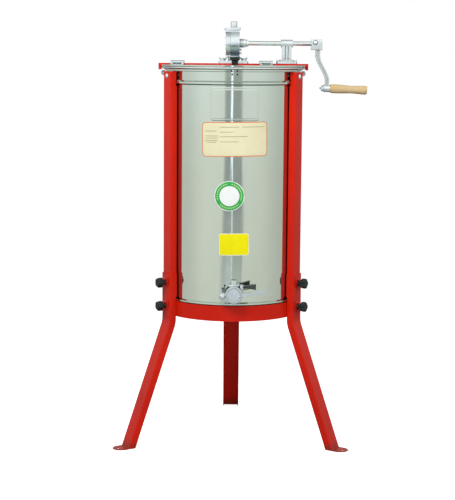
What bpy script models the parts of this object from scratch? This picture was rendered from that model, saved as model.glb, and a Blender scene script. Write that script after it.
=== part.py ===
"""A hand-cranked three-frame honey extractor on a three-legged stand.

Units are metres and +Z is up. Everything is placed around the drum's axis, and the axis itself
stands a little off the origin, which is the middle of the ground that the whole object covers.
A leg station is a frame turned about the drum's axis: its X points outwards, its Y along the drum.
"""

from math import acos, asin, atan2, cos, pi, radians, sin, sqrt, tan

import bmesh
import bpy
from mathutils import Matrix, Vector

# Clearances and overruns
SEAT_GAP = 0.0003
RUNNING_GAP = 0.0003
CUT_OVERRUN = 0.004
WELD_DISTANCE = 0.000001

# Drum
DRUM_RADIUS = 0.200
DRUM_SHEET = 0.0008
DRUM_BOTTOM_Z = 0.423
DRUM_SKIRT = 0.0100
RIM_TOP_Z = 1.1268
RIM_ROLL_RADIUS = 0.0042
RIM_BAND_DEPTH = 0.0048
RIM_BAND_SLOPE = 0.0015
LOWER_BEAD_HEIGHT = 0.0100
UPPER_BEAD_HEIGHT = 0.0130
BEAD_DEPTH = 0.0068
UPPER_BEAD_DROP = 0.0493
FLOOR_SHEET = 0.0012
FLOOR_EDGE_GAP = 0.0005
FLOOR_EDGE_RISE = 0.0210
FLOOR_CENTRE_RISE = 0.0110
FLOOR_FLANGE_DEPTH = 0.0140
FLOOR_SEAT_RADIUS = 0.0300

# Stand: channel uprights, leg sleeves and the hoop that the drum stands in
FRONT_LEG_ANGLE = radians(30.0)
UPRIGHT_STANDOFF = 0.0230
UPRIGHT_HALF_WIDTH = 0.0225
UPRIGHT_DEPTH = 0.0188
UPRIGHT_SHEET = 0.0020
UPRIGHT_CORNER = 0.0032
UPRIGHT_TOP_DROP = 0.0176
UPRIGHT_LAP = 0.1300
LEG_TOP_RISE = 0.0922
LEG_SHEET = 0.0025
LEG_CORNER = 0.0040
LEG_BEND_DROP = 0.0530
LEG_BEND_RADIUS = 0.0600
FOOT_WEB_RADIUS = 0.3620
FOOT_TAB_LENGTH = 0.0370
FOOT_HOLE_RADIUS = 0.0055
FOOT_HOLE_INSET = 0.0160
FLANGE_LIFT = 0.0010
HOOP_SHEET = 0.0030
HOOP_HEIGHT = 0.0455
UPRIGHT_BOLT_DROP = 0.0132
BOLT_SHANK_RADIUS = 0.0040
BOLT_HEAD_RADIUS = 0.0073
BOLT_HEAD_HEIGHT = 0.0038
BOLT_TAIL = 0.0035

# Clamp knobs on the legs and knobs on the lids
LEG_KNOB_HIGH_RISE = 0.0650
LEG_KNOB_LOW_DROP = 0.0050
KNOB_HEAD_RADIUS = 0.0155
KNOB_LOBE_DEPTH_SHARE = 0.14
KNOB_LOBES = 5
KNOB_STEM_RADIUS = 0.0090
KNOB_NECK_RADIUS = 0.0078
KNOB_STEM_LENGTH = 0.0120
KNOB_HEAD_LENGTH = 0.0200
KNOB_EDGE = 0.0025
KNOB_SCREW_RADIUS = 0.0040
KNOB_SCREW_LENGTH = 0.0150
LID_KNOB_RADIUS = 0.0144
LID_KNOB_STEM_RADIUS = 0.0079
LID_KNOB_STEM_LENGTH = 0.0160
LID_KNOB_HEAD_LENGTH = 0.0080
LID_KNOB_EDGE = 0.0008
LID_KNOB_X = 0.0040
LID_KNOB_INSET = 0.0670

# Crossbar, lids and their hinges
CROSSBAR_OVERHANG = 0.0227
CROSSBAR_HALF_WIDTH = 0.0225
CROSSBAR_SHEET = 0.0030
CROSSBAR_HEIGHT = 0.0050
CROSSBAR_HOOK_DROP = 0.0188
CROSSBAR_HOOK_DEPTH = 0.0072
CROSSBAR_HOOK_CORNER = 0.0040
LID_OVERHANG = 0.0170
LID_SHEET = 0.0012
LID_LIP = 0.0045
LID_EDGE_Y = 0.0265
HINGE_PIN_OUT = 0.0010
HINGE_PIN_Z_OVER_BAR = 0.0039
HINGE_X_SHARES = (-0.7499, 0.4356)
HINGE_PLATE_HALF_WIDTH = 0.0210
HINGE_PLATE_SHEET = 0.0025
HINGE_TONGUE_HALF_WIDTH = 0.0120
HINGE_BARREL_RADIUS = 0.0045
HINGE_PIN_RADIUS = 0.0020
HINGE_SPACER_HALF_WIDTH = 0.0110
HINGE_SPACER_HALF_LENGTH = 0.0160
HINGE_PLATE_MARGIN = 0.0006
HINGE_EAR_WIDTH = 0.0070
HINGE_EAR_GAP = 0.0005
HINGE_LEAF_SHEET = 0.0015
HINGE_LEAF_LENGTH = 0.0180

# Gearbox
CRANK_AXIS_RISE = 0.0652
GEARBOX_RADIUS = 0.0380
GEARBOX_WALL = 0.0040
GEARBOX_RIGHT_X = 0.0180
GEARBOX_JOINT_X = -0.0090
GEARBOX_LEFT_X = -0.0230
COVER_WALL = 0.0030
GEARBOX_TOP_HALF_DEPTH = 0.0200
GEARBOX_PAD_HALF_DEPTH = 0.0140
GEARBOX_BOSS_RADIUS = 0.0130
GEARBOX_BOSS_LENGTH = 0.0120
CAP_RIGHT_X = 0.0210
CAP_THICKNESS = 0.0080
CAP_HALF_DEPTH = 0.0230
CAP_DOME_RADIUS = 0.0098
CAP_DOME_X = 0.0008
CAP_DOME_HEIGHT = 0.0180
CAP_DOME_EDGE = 0.0022
CAP_CORNER = 0.0040
FOOT_PLATE_HALF_LENGTH = 0.0440
FOOT_PLATE_HALF_WIDTH = 0.0210
FOOT_PLATE_THICKNESS = 0.0072
FOOT_PLATE_CORNER = 0.0060
FOOT_NECK_RADIUS = 0.0165
BUSH_RADIUS = 0.0120
BUSH_COLLAR_RADIUS = 0.0150
BUSH_COLLAR_HEIGHT = 0.0025

# Bevel gears
GEAR_TEETH = 36
PINION_TEETH = 12
GEAR_MODULE = 0.0017
PRESSURE_ANGLE = radians(20.0)
ADDENDUM_SHARE = 0.85
DEDENDUM_SHARE = 1.30
TOOTH_THICKNESS_SHARE = 0.82
GEAR_FACE = 0.0095
GEAR_BACK = 0.0048
GEAR_WEB_DEPTH = 0.0006
PINION_BACK = 0.0004

# Crank
CRANK_SHAFT_RADIUS = 0.0065
CRANK_SHAFT_LEFT_OUT = 0.0010
COLLAR_RADIUS = 0.0120
COLLAR_LENGTH = 0.0140
HUB_OUT = 0.0310
HUB_LENGTH = 0.0330
HUB_HEIGHT = 0.0306
HUB_DROP = 0.0033
HUB_DEPTH = 0.0290
HUB_EDGE = 0.0030
HUB_SHAFT_SHORT = 0.0015
CRANK_RADIUS = 0.1318
ARM_TOP_OUT = 0.0510
ARM_BOTTOM_OUT = 0.0800
ARM_WIDTH = 0.0140
ARM_DEPTH = 0.0220
ARM_GROOVE = 0.0022
ARM_CURVE_TOP_SHARE = 0.22
ARM_CURVE_LENGTH_SHARE = 0.60
ARM_STATIONS = 10
ARM_TOP_INSET = 0.0080
ARM_TOP_SCALE_SHARE = 1.05
ARM_BOTTOM_SCALE_SHARE = 0.86
BOSS_RADIUS = 0.0110
BOSS_OUT = 0.0690
BOSS_LENGTH = 0.0195
GRIP_DROOP = radians(2.3)
GRIP_LENGTH = 0.1110
GRIP_RADIUS = 0.0135
GRIP_BORE_RADIUS = 0.0044
GRIP_SHAPE_SHARES = (
    (0, 0.80), (0.03, 0.93), (0.12, 1), (0.30, 0.97), (0.48, 0.88), (0.62, 0.86), (0.80, 0.93),
    (0.92, 0.98), (0.98, 0.92), (1, 0.80),
)
SPINDLE_RADIUS = 0.0040
SPINDLE_NUT_FLATS = 0.0150
SPINDLE_NUT_LENGTH = 0.0060
SPINDLE_TIP = 0.0050
SPINDLE_HEAD_RADIUS = 0.0065
SPINDLE_HEAD_LENGTH = 0.0030
GRIP_COUNTERBORE_RADIUS = 0.0075
GRIP_COUNTERBORE_DEPTH = 0.0045

# Crank bearing bracket
BRACKET_X_SHARE = 0.7117
BRACKET_BLOCK_LENGTH = 0.0350
BRACKET_BLOCK_RADIUS = 0.0115
BRACKET_POST_LENGTH = 0.0280
BRACKET_POST_HALF_DEPTH = 0.0088
BRACKET_COLUMN_WIDTH = 0.0088
BRACKET_RIB_LENGTH = 0.0058
BRACKET_WEB_HALF_DEPTH = 0.0040
BRACKET_BASE_LENGTH = 0.0620
BRACKET_BASE_HALF_DEPTH = 0.0200
BRACKET_BASE_THICKNESS = 0.0070
BRACKET_BASE_RISE = 0.0050
BRACKET_RISE_HALF_LENGTH = 0.0180
BRACKET_BASE_CORNER = 0.0080
BRACKET_BOLT_OUT = 0.0245
SMALL_BOLT_SHANK_RADIUS = 0.0030
SMALL_BOLT_FLATS = 0.0100
SMALL_BOLT_HEIGHT = 0.0045

# Wing nuts that hold the gearbox foot
WING_NUT_X = 0.0310
WING_NUT_RADIUS = 0.0080
WING_NUT_HEIGHT = 0.0070
WING_SPAN_HALF = 0.0130
WING_RISE = 0.0110
WING_THICKNESS = 0.0035
WING_STUD_RADIUS = 0.0030

# Cage: shaft, two spiders, three screens and three guards
SHAFT_RADIUS = 0.0100
SHAFT_TOP_RADIUS = 0.0080
SHAFT_PINION_RADIUS = 0.0040
SHAFT_TIP_OUT = 0.0012
BEARING_FLANGE_RADIUS = 0.0260
BEARING_FLANGE_HEIGHT = 0.0030
BEARING_CUP_RADIUS = 0.0150
BEARING_CUP_HEIGHT = 0.0180
SPIDER_BOTTOM_RISE = 0.0720
SPIDER_TOP_DROP = 0.1318
SPIDER_SHEET = 0.0040
SPIDER_HUB_RADIUS = 0.0240
SPIDER_ARM_HALF_WIDTH = 0.0100
HUB_ARC_STEPS = 3
BASKET_ANGLES = (radians(-90.0), radians(30.0), radians(150.0))
CAGE_CLEARANCE = 0.0239
POCKET_INNER_SHARE = 0.4543
POCKET_OUTER_SHARE = 0.7212
POCKET_HALF_WIDTH_SHARE = 0.6928
POCKET_BORDER = 0.0040
SHELF_SLOT_BORDER = 0.0110
HUB_SLEEVE_RADIUS = 0.0160
HUB_SLEEVE_HEIGHT = 0.0240
SCREEN_SHEET = 0.0020
SCREEN_BORDER = 0.0080
SCREEN_BAR = 0.0040
SCREEN_COLUMNS = 4
SCREEN_ROWS = 6
SCREEN_SIDE_GAP = 0.0020
SCREEN_INSET = 0.0010
GUARD_COLUMNS = 1
GUARD_ROWS = 4
GUARD_SIDE_GAP = 0.0320
GUARD_BORDER = 0.0120

# Honey gate, on the drum's front
GATE_X = 0.0065
GATE_RISE = 0.0485
GATE_BORE_RADIUS = 0.0170
GATE_TUBE_RADIUS = 0.0200
GATE_FLANGE_RADIUS = 0.0270
GATE_FLANGE_THICKNESS = 0.0060
GATE_FLANGE_WRAP = 0.0035
GATE_TUBE_IN = 0.0045
GATE_FRONT_OUT = 0.0360
GATE_FRONT_RADIUS = 0.0245
GATE_FRONT_THICKNESS = 0.0075
GATE_EAR_RADIUS = 0.0072
GATE_PIVOT_DX = -0.0330
GATE_PIVOT_DZ = -0.0024
GATE_CAP_RADIUS = 0.0098
GATE_CAP_TOP = 0.0390
GATE_CAP_OUT = 0.0165
FLAP_RADIUS = 0.0252
FLAP_THICKNESS = 0.0060
FLAP_RAISED_RADIUS = 0.0180
FLAP_RAISED_HEIGHT = 0.0015
LEVER_ROOT_DX = 0.0150
LEVER_END_DX = 0.0900
LEVER_ROOT_DZ = -0.0010
LEVER_END_DZ = 0.0100
LEVER_WAIST_HALF = 0.0040
LEVER_ROOT_HALF = 0.0075
LEVER_END_HALF = 0.0065
LEVER_THICKNESS = 0.0045
LEVER_WAIST_SHARE = 0.30
PIVOT_SHANK_RADIUS = 0.0030
PIVOT_HEAD_RADIUS = 0.0072
PIVOT_HEAD_HEIGHT = 0.0030
HEAD_DOME_SHARE = 0.7
WING_SCREW_DZ = 0.0220
WING_SCREW_OUT = 0.0240
WING_SCREW_RADIUS = 0.0030
WING_SCREW_LUG_DX = 0.0175
WING_SCREW_LUG_LENGTH = 0.0085
WING_SCREW_LUG_HALF = 0.0060
WING_SCREW_NECK = 0.0080
WING_SCREW_WING_START = 0.0100
WING_SCREW_WING = 0.0280
WING_SCREW_ROOT_HALF = 0.0040
WING_SCREW_ROOT_LENGTH = 0.0050
WING_SCREW_END_HALF = 0.0085
WING_SCREW_THICKNESS = 0.0045

# Facet counts
DRUM_STEPS = 48
RIM_STEPS = 8
ROUND_STEPS = 24
SMALL_STEPS = 16
TINY_STEPS = 12
CORNER_STEPS = 2
BEND_STEPS = 5
KNOB_STEPS = 20
SMOOTH_LIMIT = radians(38.0)

# Places that follow from the sizes above
FLOOR_EDGE_Z = DRUM_BOTTOM_Z + FLOOR_EDGE_RISE
GATE_Z = DRUM_BOTTOM_Z + GATE_RISE
SPIDER_BOTTOM_Z = DRUM_BOTTOM_Z + SPIDER_BOTTOM_RISE
LEG_TOP_Z = DRUM_BOTTOM_Z + LEG_TOP_RISE
LEG_KNOB_HIGH_Z = DRUM_BOTTOM_Z + LEG_KNOB_HIGH_RISE
LEG_KNOB_LOW_Z = DRUM_BOTTOM_Z - LEG_KNOB_LOW_DROP
LEG_BEND_Z = DRUM_BOTTOM_Z - LEG_BEND_DROP
UPRIGHT_TOP_Z = RIM_TOP_Z - UPRIGHT_TOP_DROP
UPPER_BEAD_Z = RIM_TOP_Z - UPPER_BEAD_DROP
SPIDER_TOP_Z = RIM_TOP_Z - SPIDER_TOP_DROP
CRANK_AXIS_Z = RIM_TOP_Z + CRANK_AXIS_RISE
FOOT_REACH = FOOT_WEB_RADIUS + FOOT_TAB_LENGTH
UPRIGHT_WEB_RADIUS = DRUM_RADIUS + UPRIGHT_STANDOFF
UPRIGHT_TIP_RADIUS = UPRIGHT_WEB_RADIUS - UPRIGHT_DEPTH
FLANGE_CLEAR_RADIUS = sqrt(UPRIGHT_TIP_RADIUS**2 + (UPRIGHT_HALF_WIDTH - UPRIGHT_SHEET) ** 2)
LEG_WEB_RADIUS = UPRIGHT_WEB_RADIUS + SEAT_GAP + LEG_SHEET
LEG_HALF_WIDTH = UPRIGHT_HALF_WIDTH + SEAT_GAP + LEG_SHEET
FOOT_TAB_HALF_WIDTH = LEG_HALF_WIDTH - SEAT_GAP
LEG_TIP_RADIUS = UPRIGHT_TIP_RADIUS + SEAT_GAP
LEG_SPLAY = atan2(FOOT_WEB_RADIUS - LEG_WEB_RADIUS, LEG_BEND_Z)
HOOP_OUTER_RADIUS = FLANGE_CLEAR_RADIUS - SEAT_GAP
LOWER_BEAD_Z = DRUM_BOTTOM_Z + DRUM_SKIRT + LOWER_BEAD_HEIGHT / 2
HOOP_TOP_Z = LOWER_BEAD_Z - LOWER_BEAD_HEIGHT / 2 - SEAT_GAP
UPRIGHT_BOLT_Z = UPRIGHT_TOP_Z - UPRIGHT_BOLT_DROP
RIM_BAND_LOW_Z = UPRIGHT_TOP_Z + RUNNING_GAP
LID_RADIUS = DRUM_RADIUS + LID_OVERHANG
CROSSBAR_HALF_LENGTH = DRUM_RADIUS + CROSSBAR_OVERHANG
LID_UNDER_Z = RIM_TOP_Z + SEAT_GAP
LID_TOP_Z = LID_UNDER_Z + LID_SHEET
CROSSBAR_BOTTOM_Z = RIM_TOP_Z + SEAT_GAP
CROSSBAR_TOP_Z = CROSSBAR_BOTTOM_Z + CROSSBAR_HEIGHT
HINGE_AXIS_Y = LID_EDGE_Y + HINGE_PIN_OUT
HINGE_AXIS_Z = CROSSBAR_TOP_Z + HINGE_PIN_Z_OVER_BAR
FOOT_PLATE_TOP_Z = CROSSBAR_TOP_Z + SEAT_GAP + FOOT_PLATE_THICKNESS
HOUSING_BOTTOM_Z = CRANK_AXIS_Z - GEARBOX_RADIUS
FOOT_NECK_TOP_Z = HOUSING_BOTTOM_Z - SEAT_GAP
HOUSING_TOP_Z = CRANK_AXIS_Z + GEARBOX_RADIUS
HOUSING_BOSS_END_X = GEARBOX_RIGHT_X + GEARBOX_BOSS_LENGTH
BUSH_COLLAR_LOW_Z = CROSSBAR_TOP_Z - CROSSBAR_SHEET - SEAT_GAP - BUSH_COLLAR_HEIGHT
FLOOR_CENTRE_Z = FLOOR_EDGE_Z + FLOOR_CENTRE_RISE
SHAFT_FOOT_Z = FLOOR_CENTRE_Z + SEAT_GAP + BEARING_FLANGE_HEIGHT + RUNNING_GAP
HUB_LEFT_X = DRUM_RADIUS + HUB_OUT
ARM_TOP_X = DRUM_RADIUS + ARM_TOP_OUT
ARM_BOTTOM_X = DRUM_RADIUS + ARM_BOTTOM_OUT
BOSS_CENTRE_X = DRUM_RADIUS + BOSS_OUT + BOSS_LENGTH / 2
BRACKET_X = CROSSBAR_HALF_LENGTH * BRACKET_X_SHARE
GRIP_START = BOSS_LENGTH / 2 + SEAT_GAP
GEAR_PITCH_RADIUS = GEAR_MODULE * GEAR_TEETH / 2
PINION_PITCH_RADIUS = GEAR_MODULE * PINION_TEETH / 2
GEAR_CONE_DISTANCE = sqrt(GEAR_PITCH_RADIUS**2 + PINION_PITCH_RADIUS**2)
GEAR_SMALL_SHARE = 1 - GEAR_FACE / GEAR_CONE_DISTANCE
PINION_BACK_Z = CRANK_AXIS_Z - GEAR_PITCH_RADIUS - PINION_BACK
CAGE_RADIUS = DRUM_RADIUS - CAGE_CLEARANCE
POCKET_INNER = CAGE_RADIUS * POCKET_INNER_SHARE
POCKET_OUTER = CAGE_RADIUS * POCKET_OUTER_SHARE
POCKET_HALF_WIDTH = CAGE_RADIUS * POCKET_HALF_WIDTH_SHARE
SCREEN_HALF_WIDTH = POCKET_HALF_WIDTH - SCREEN_SIDE_GAP
GUARD_HALF_WIDTH = POCKET_HALF_WIDTH - GUARD_SIDE_GAP
GATE_INNER_Y = DRUM_RADIUS - GATE_TUBE_IN
GATE_FRONT_Y = DRUM_RADIUS + GATE_FRONT_OUT
GATE_CAP_Y = DRUM_RADIUS + GATE_CAP_OUT
WING_SCREW_Y = DRUM_RADIUS + WING_SCREW_OUT
GRIP_END_X = BOSS_CENTRE_X + (GRIP_START + GRIP_LENGTH) * cos(GRIP_DROOP)
GATE_REACH_Y = GATE_FRONT_Y + SEAT_GAP + FLAP_THICKNESS + SEAT_GAP + PIVOT_HEAD_HEIGHT
FOOT_SIDE_X = (FOOT_REACH - FOOT_TAB_HALF_WIDTH) * cos(FRONT_LEG_ANGLE) + FOOT_TAB_HALF_WIDTH
AXIS_X = -(GRIP_END_X - FOOT_SIDE_X) / 2
AXIS_Y = -(FOOT_REACH - GATE_REACH_Y) / 2


def clear_scene():
    for old in list(bpy.data.objects):
        bpy.data.objects.remove(old, do_unlink=True)


def material(name, colour, roughness, metallic):
    made = bpy.data.materials.new(name)
    made.use_nodes = True
    shader = made.node_tree.nodes["Principled BSDF"]
    shader.inputs["Base Color"].default_value = (*colour, 1.0)
    shader.inputs["Roughness"].default_value = roughness
    shader.inputs["Metallic"].default_value = metallic
    return made


def empty(name, parent=None, location=(0, 0, 0), rotation=(0, 0, 0)):
    made = bpy.data.objects.new(name, None)
    bpy.context.scene.collection.objects.link(made)
    made.parent = parent
    made.location = location
    made.rotation_euler = rotation
    return made


def add(name, mesh, finish, parent, location=(0, 0, 0), rotation=(0, 0, 0)):
    """A node of the object: one named solid with its material, placed under its parent."""
    made = bpy.data.objects.new(name, mesh)
    bpy.context.scene.collection.objects.link(made)
    made.parent = parent
    made.location = location
    made.rotation_euler = rotation
    if not mesh.materials:
        mesh.materials.append(finish)
    return made


def helper(name, mesh, target):
    """A cutter or a joined shape. It shares its target's place and stays out of renders."""
    made = bpy.data.objects.new(name, mesh)
    bpy.context.scene.collection.objects.link(made)
    made.parent = target.parent
    made.location = target.location
    made.rotation_euler = target.rotation_euler
    made.hide_render = True
    made.display_type = "WIRE"
    return made


def boolean(target, mesh, operation):
    tool = helper(f"{target.name}_{operation.lower()}_{len(target.modifiers)}", mesh, target)
    change = target.modifiers.new(operation.title(), "BOOLEAN")
    change.operation = operation
    change.solver = "EXACT"
    change.object = tool


def cut(target, mesh):
    boolean(target, mesh, "DIFFERENCE")


def join(target, mesh):
    boolean(target, mesh, "UNION")


def finished(bm, name):
    """The bmesh as a mesh with its faces pointing out, shaded smooth between sharp edges."""
    bmesh.ops.recalc_face_normals(bm, faces=bm.faces)
    mesh = bpy.data.meshes.new(name)
    bm.to_mesh(mesh)
    bm.free()
    mesh.shade_smooth()
    mesh.set_sharp_from_angle(angle=SMOOTH_LIMIT)
    return mesh


def transformed(mesh, matrix):
    mesh.transform(matrix)
    return mesh


def turned_to(axis):
    """A rotation that takes +Z to the given axis."""
    return Vector((0, 0, 1)).rotation_difference(Vector(axis)).to_matrix().to_4x4()


def side_on(mesh):
    """A prism laid along X, with its outline's x and y as Y and Z."""
    return transformed(mesh, Matrix(((0, 0, 1, 0), (1, 0, 0, 0), (0, 1, 0, 0), (0, 0, 0, 1))))


def front_on(mesh):
    """A prism laid along -Y, with its outline's x and y as X and Z."""
    return transformed(mesh, Matrix.Rotation(pi / 2, 4, "X"))


def revolved(name, profile, steps, ring=False):
    """A profile of (radius, height) points spun about Z. A ring profile closes on itself."""
    bm = bmesh.new()
    points = [bm.verts.new((radius, 0, height)) for radius, height in profile]
    following = points[1:] + points[:1] if ring else points[1:]
    edges = [bm.edges.new(pair) for pair in zip(points, following)]
    bmesh.ops.spin(
        bm, geom=points + edges, cent=(0, 0, 0), axis=(0, 0, 1), angle=2 * pi, steps=steps
    )
    bmesh.ops.remove_doubles(bm, verts=bm.verts, dist=WELD_DISTANCE)
    return finished(bm, name)


def cylinder(name, radius, low, high, steps=ROUND_STEPS):
    return revolved(name, [(0, low), (radius, low), (radius, high), (0, high)], steps)


def prism(name, outline, low, high):
    """A flat outline of (x, y) points raised from low to high along Z."""
    bm = bmesh.new()
    face = bm.faces.new([bm.verts.new((x, y, low)) for x, y in outline])
    raised = bmesh.ops.extrude_face_region(bm, geom=[face])["geom"]
    tops = [item for item in raised if isinstance(item, bmesh.types.BMVert)]
    bmesh.ops.translate(bm, verts=tops, vec=(0, 0, high - low))
    return finished(bm, name)


def box(name, low, high):
    outline = [(low[0], low[1]), (high[0], low[1]), (high[0], high[1]), (low[0], high[1])]
    return prism(name, outline, low[2], high[2])


def lofted(name, rings):
    """Rings of equal counts bridged in order, with the first and last filled."""
    bm = bmesh.new()
    rows = [[bm.verts.new(point) for point in ring] for ring in rings]
    for row, after in zip(rows, rows[1:]):
        for i in range(len(row)):
            j = (i + 1) % len(row)
            bm.faces.new((row[i], row[j], after[j], after[i]))
    bm.faces.new(rows[0][::-1])
    bm.faces.new(rows[-1])
    return finished(bm, name)


def arc(centre, radius, start, end, steps):
    """Points of an arc, both ends included, with the angles in radians."""
    angles = [start + (end - start) * i / steps for i in range(steps + 1)]
    return [(centre[0] + radius * cos(a), centre[1] + radius * sin(a)) for a in angles]


def circle(radius, steps, phase=0):
    return arc((0, 0), radius, phase, phase + 2 * pi, steps)[:-1]


def rounded_box_outline(half_x, half_y, radius, steps):
    corners = ((1, 1, 0), (-1, 1, pi / 2), (-1, -1, pi), (1, -1, 3 * pi / 2))
    points = []
    for side_x, side_y, start in corners:
        centre = (side_x * (half_x - radius), side_y * (half_y - radius))
        points += arc(centre, radius, start, start + pi / 2, steps)
    return points


def smooth_step(share):
    share = min(max(share, 0), 1)
    return share * share * (3 - 2 * share)


def channel_outline(web, tip, half_width, sheet, corner):
    """A channel section in a leg station's X and Y, its web outwards and its flanges inwards."""
    inner = corner - sheet
    outer_x, outer_y = web - corner, half_width - corner
    points = [(tip, half_width)]
    points += arc((outer_x, outer_y), corner, pi / 2, 0, CORNER_STEPS)
    points += arc((outer_x, -outer_y), corner, 0, -pi / 2, CORNER_STEPS)
    points += [(tip, -half_width), (tip, sheet - half_width)]
    points += arc((outer_x, -outer_y), inner, -pi / 2, 0, CORNER_STEPS)
    points += arc((outer_x, outer_y), inner, 0, pi / 2, CORNER_STEPS)
    return points + [(tip, half_width - sheet)]


def round_ring(radius, height, steps, centre=(0, 0)):
    return [(centre[0] + x, centre[1] + y, height) for x, y in circle(radius, steps)]


def hex_ring(flats, height):
    """Twelve points round a hexagon: its corners and the middles of its sides."""
    radii = [flats / sqrt(3), flats / 2] * (TINY_STEPS // 2)
    turn = 2 * pi / TINY_STEPS
    return [(r * cos(turn * i), r * sin(turn * i), height) for i, r in enumerate(radii)]


def lobed_ring(radius, height):
    ring = []
    for i in range(KNOB_STEPS):
        angle = 2 * pi * i / KNOB_STEPS
        dip = KNOB_LOBE_DEPTH_SHARE * (1 - cos(KNOB_LOBES * angle)) / 2
        reach = radius * (1 - dip)
        ring.append((reach * cos(angle), reach * sin(angle), height))
    return ring


def bolt(name, flats, head, shank, length):
    """A hexagon bolt along Z: its head stands over its seat and its shank hangs below."""
    rings = [round_ring(shank, -length, TINY_STEPS), round_ring(shank, SEAT_GAP, TINY_STEPS)]
    rings += [hex_ring(flats, SEAT_GAP), hex_ring(flats, SEAT_GAP + head)]
    return lofted(name, rings)


def domed_bolt(name, head_radius, head_height, shank, length):
    """A round-headed bolt along Z, with its shank below its seat at zero."""
    rings = [round_ring(shank, -length, TINY_STEPS), round_ring(shank, SEAT_GAP, TINY_STEPS)]
    rings.append(round_ring(head_radius, SEAT_GAP, TINY_STEPS))
    rings.append(round_ring(head_radius * HEAD_DOME_SHARE, head_height, TINY_STEPS))
    return lofted(name, rings)


def leg_knob_mesh():
    """A lobed knob along Z that seats at zero, with its screw below it."""
    top = KNOB_STEM_LENGTH + KNOB_HEAD_LENGTH
    rings = [
        round_ring(KNOB_SCREW_RADIUS, -KNOB_SCREW_LENGTH, KNOB_STEPS),
        round_ring(KNOB_SCREW_RADIUS, SEAT_GAP, KNOB_STEPS),
        round_ring(KNOB_STEM_RADIUS, SEAT_GAP, KNOB_STEPS),
        round_ring(KNOB_NECK_RADIUS, KNOB_STEM_LENGTH - KNOB_EDGE, KNOB_STEPS),
        lobed_ring(KNOB_HEAD_RADIUS - KNOB_EDGE, KNOB_STEM_LENGTH),
        lobed_ring(KNOB_HEAD_RADIUS, KNOB_STEM_LENGTH + KNOB_EDGE),
        lobed_ring(KNOB_HEAD_RADIUS, top - KNOB_EDGE),
        lobed_ring(KNOB_HEAD_RADIUS - KNOB_EDGE, top),
    ]
    return lofted("leg_knob", rings)


def lid_knob_mesh():
    """A flat round head on a straight stem, seated at zero."""
    head, edge = LID_KNOB_RADIUS, LID_KNOB_EDGE
    low, top = LID_KNOB_STEM_LENGTH, LID_KNOB_STEM_LENGTH + LID_KNOB_HEAD_LENGTH
    profile = [
        (0, SEAT_GAP), (LID_KNOB_STEM_RADIUS, SEAT_GAP), (LID_KNOB_STEM_RADIUS, low),
        (head - edge, low), (head, low + edge), (head, top - edge), (head - edge, top), (0, top),
    ]
    return revolved("lid_knob", profile, ROUND_STEPS)


def upright_mesh():
    outline = channel_outline(
        UPRIGHT_WEB_RADIUS, UPRIGHT_TIP_RADIUS, UPRIGHT_HALF_WIDTH, UPRIGHT_SHEET, UPRIGHT_CORNER
    )
    return prism("upright", outline, LEG_TOP_Z - UPRIGHT_LAP, UPRIGHT_TOP_Z)


def leg_path():
    """Points of the leg web's outer line, each (radius, height, slope), from the top down."""
    setback = LEG_BEND_RADIUS * tan(LEG_SPLAY / 2)
    centre = (LEG_WEB_RADIUS + LEG_BEND_RADIUS, LEG_BEND_Z + setback)
    path = [(LEG_WEB_RADIUS, LEG_TOP_Z, 0)]
    for i in range(BEND_STEPS + 1):
        slope = LEG_SPLAY * i / BEND_STEPS
        radius = centre[0] - LEG_BEND_RADIUS * cos(slope)
        path.append((radius, centre[1] - LEG_BEND_RADIUS * sin(slope), slope))
    return path + [(FOOT_WEB_RADIUS, 0, LEG_SPLAY)]


def leg_mesh():
    """The channel swept along the leg's path, its last section cut level just over the floor."""
    outline = channel_outline(LEG_WEB_RADIUS, LEG_TIP_RADIUS, LEG_HALF_WIDTH, LEG_SHEET, LEG_CORNER)
    path = leg_path()
    rings = []
    for radius, height, slope in path:
        ring = []
        for x, y in outline:
            inset = x - LEG_WEB_RADIUS
            point = Vector((radius + inset * cos(slope), y, height + inset * sin(slope)))
            if (radius, height, slope) == path[-1]:
                along = (point.z - FLANGE_LIFT) / cos(slope)
                point += Vector((sin(slope), 0, -cos(slope))) * along
            ring.append(point)
        rings.append(ring)
    return lofted("leg", rings)


def foot_tab_mesh():
    half = FOOT_TAB_HALF_WIDTH
    start = FOOT_WEB_RADIUS - LEG_SHEET - SEAT_GAP
    outline = [(start, half), (start, -half)]
    outline += arc((FOOT_REACH - half, 0), half, -pi / 2, pi / 2, SMALL_STEPS)
    return prism("foot_tab", outline, 0, LEG_SHEET)


def across(mesh, radius, height):
    """A shape along Z laid along a station's X, from a radius, at a height."""
    return transformed(mesh, Matrix.Translation((radius, 0, height)) @ turned_to((1, 0, 0)))


def bead_room(height, tall):
    """A disc round the drum's axis that clears the stand's flanges from a bead."""
    half = tall / 2 + SEAT_GAP
    radius = DRUM_RADIUS + BEAD_DEPTH + SEAT_GAP
    return cylinder("bead_room", radius, height - half, height + half, DRUM_STEPS)


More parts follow.
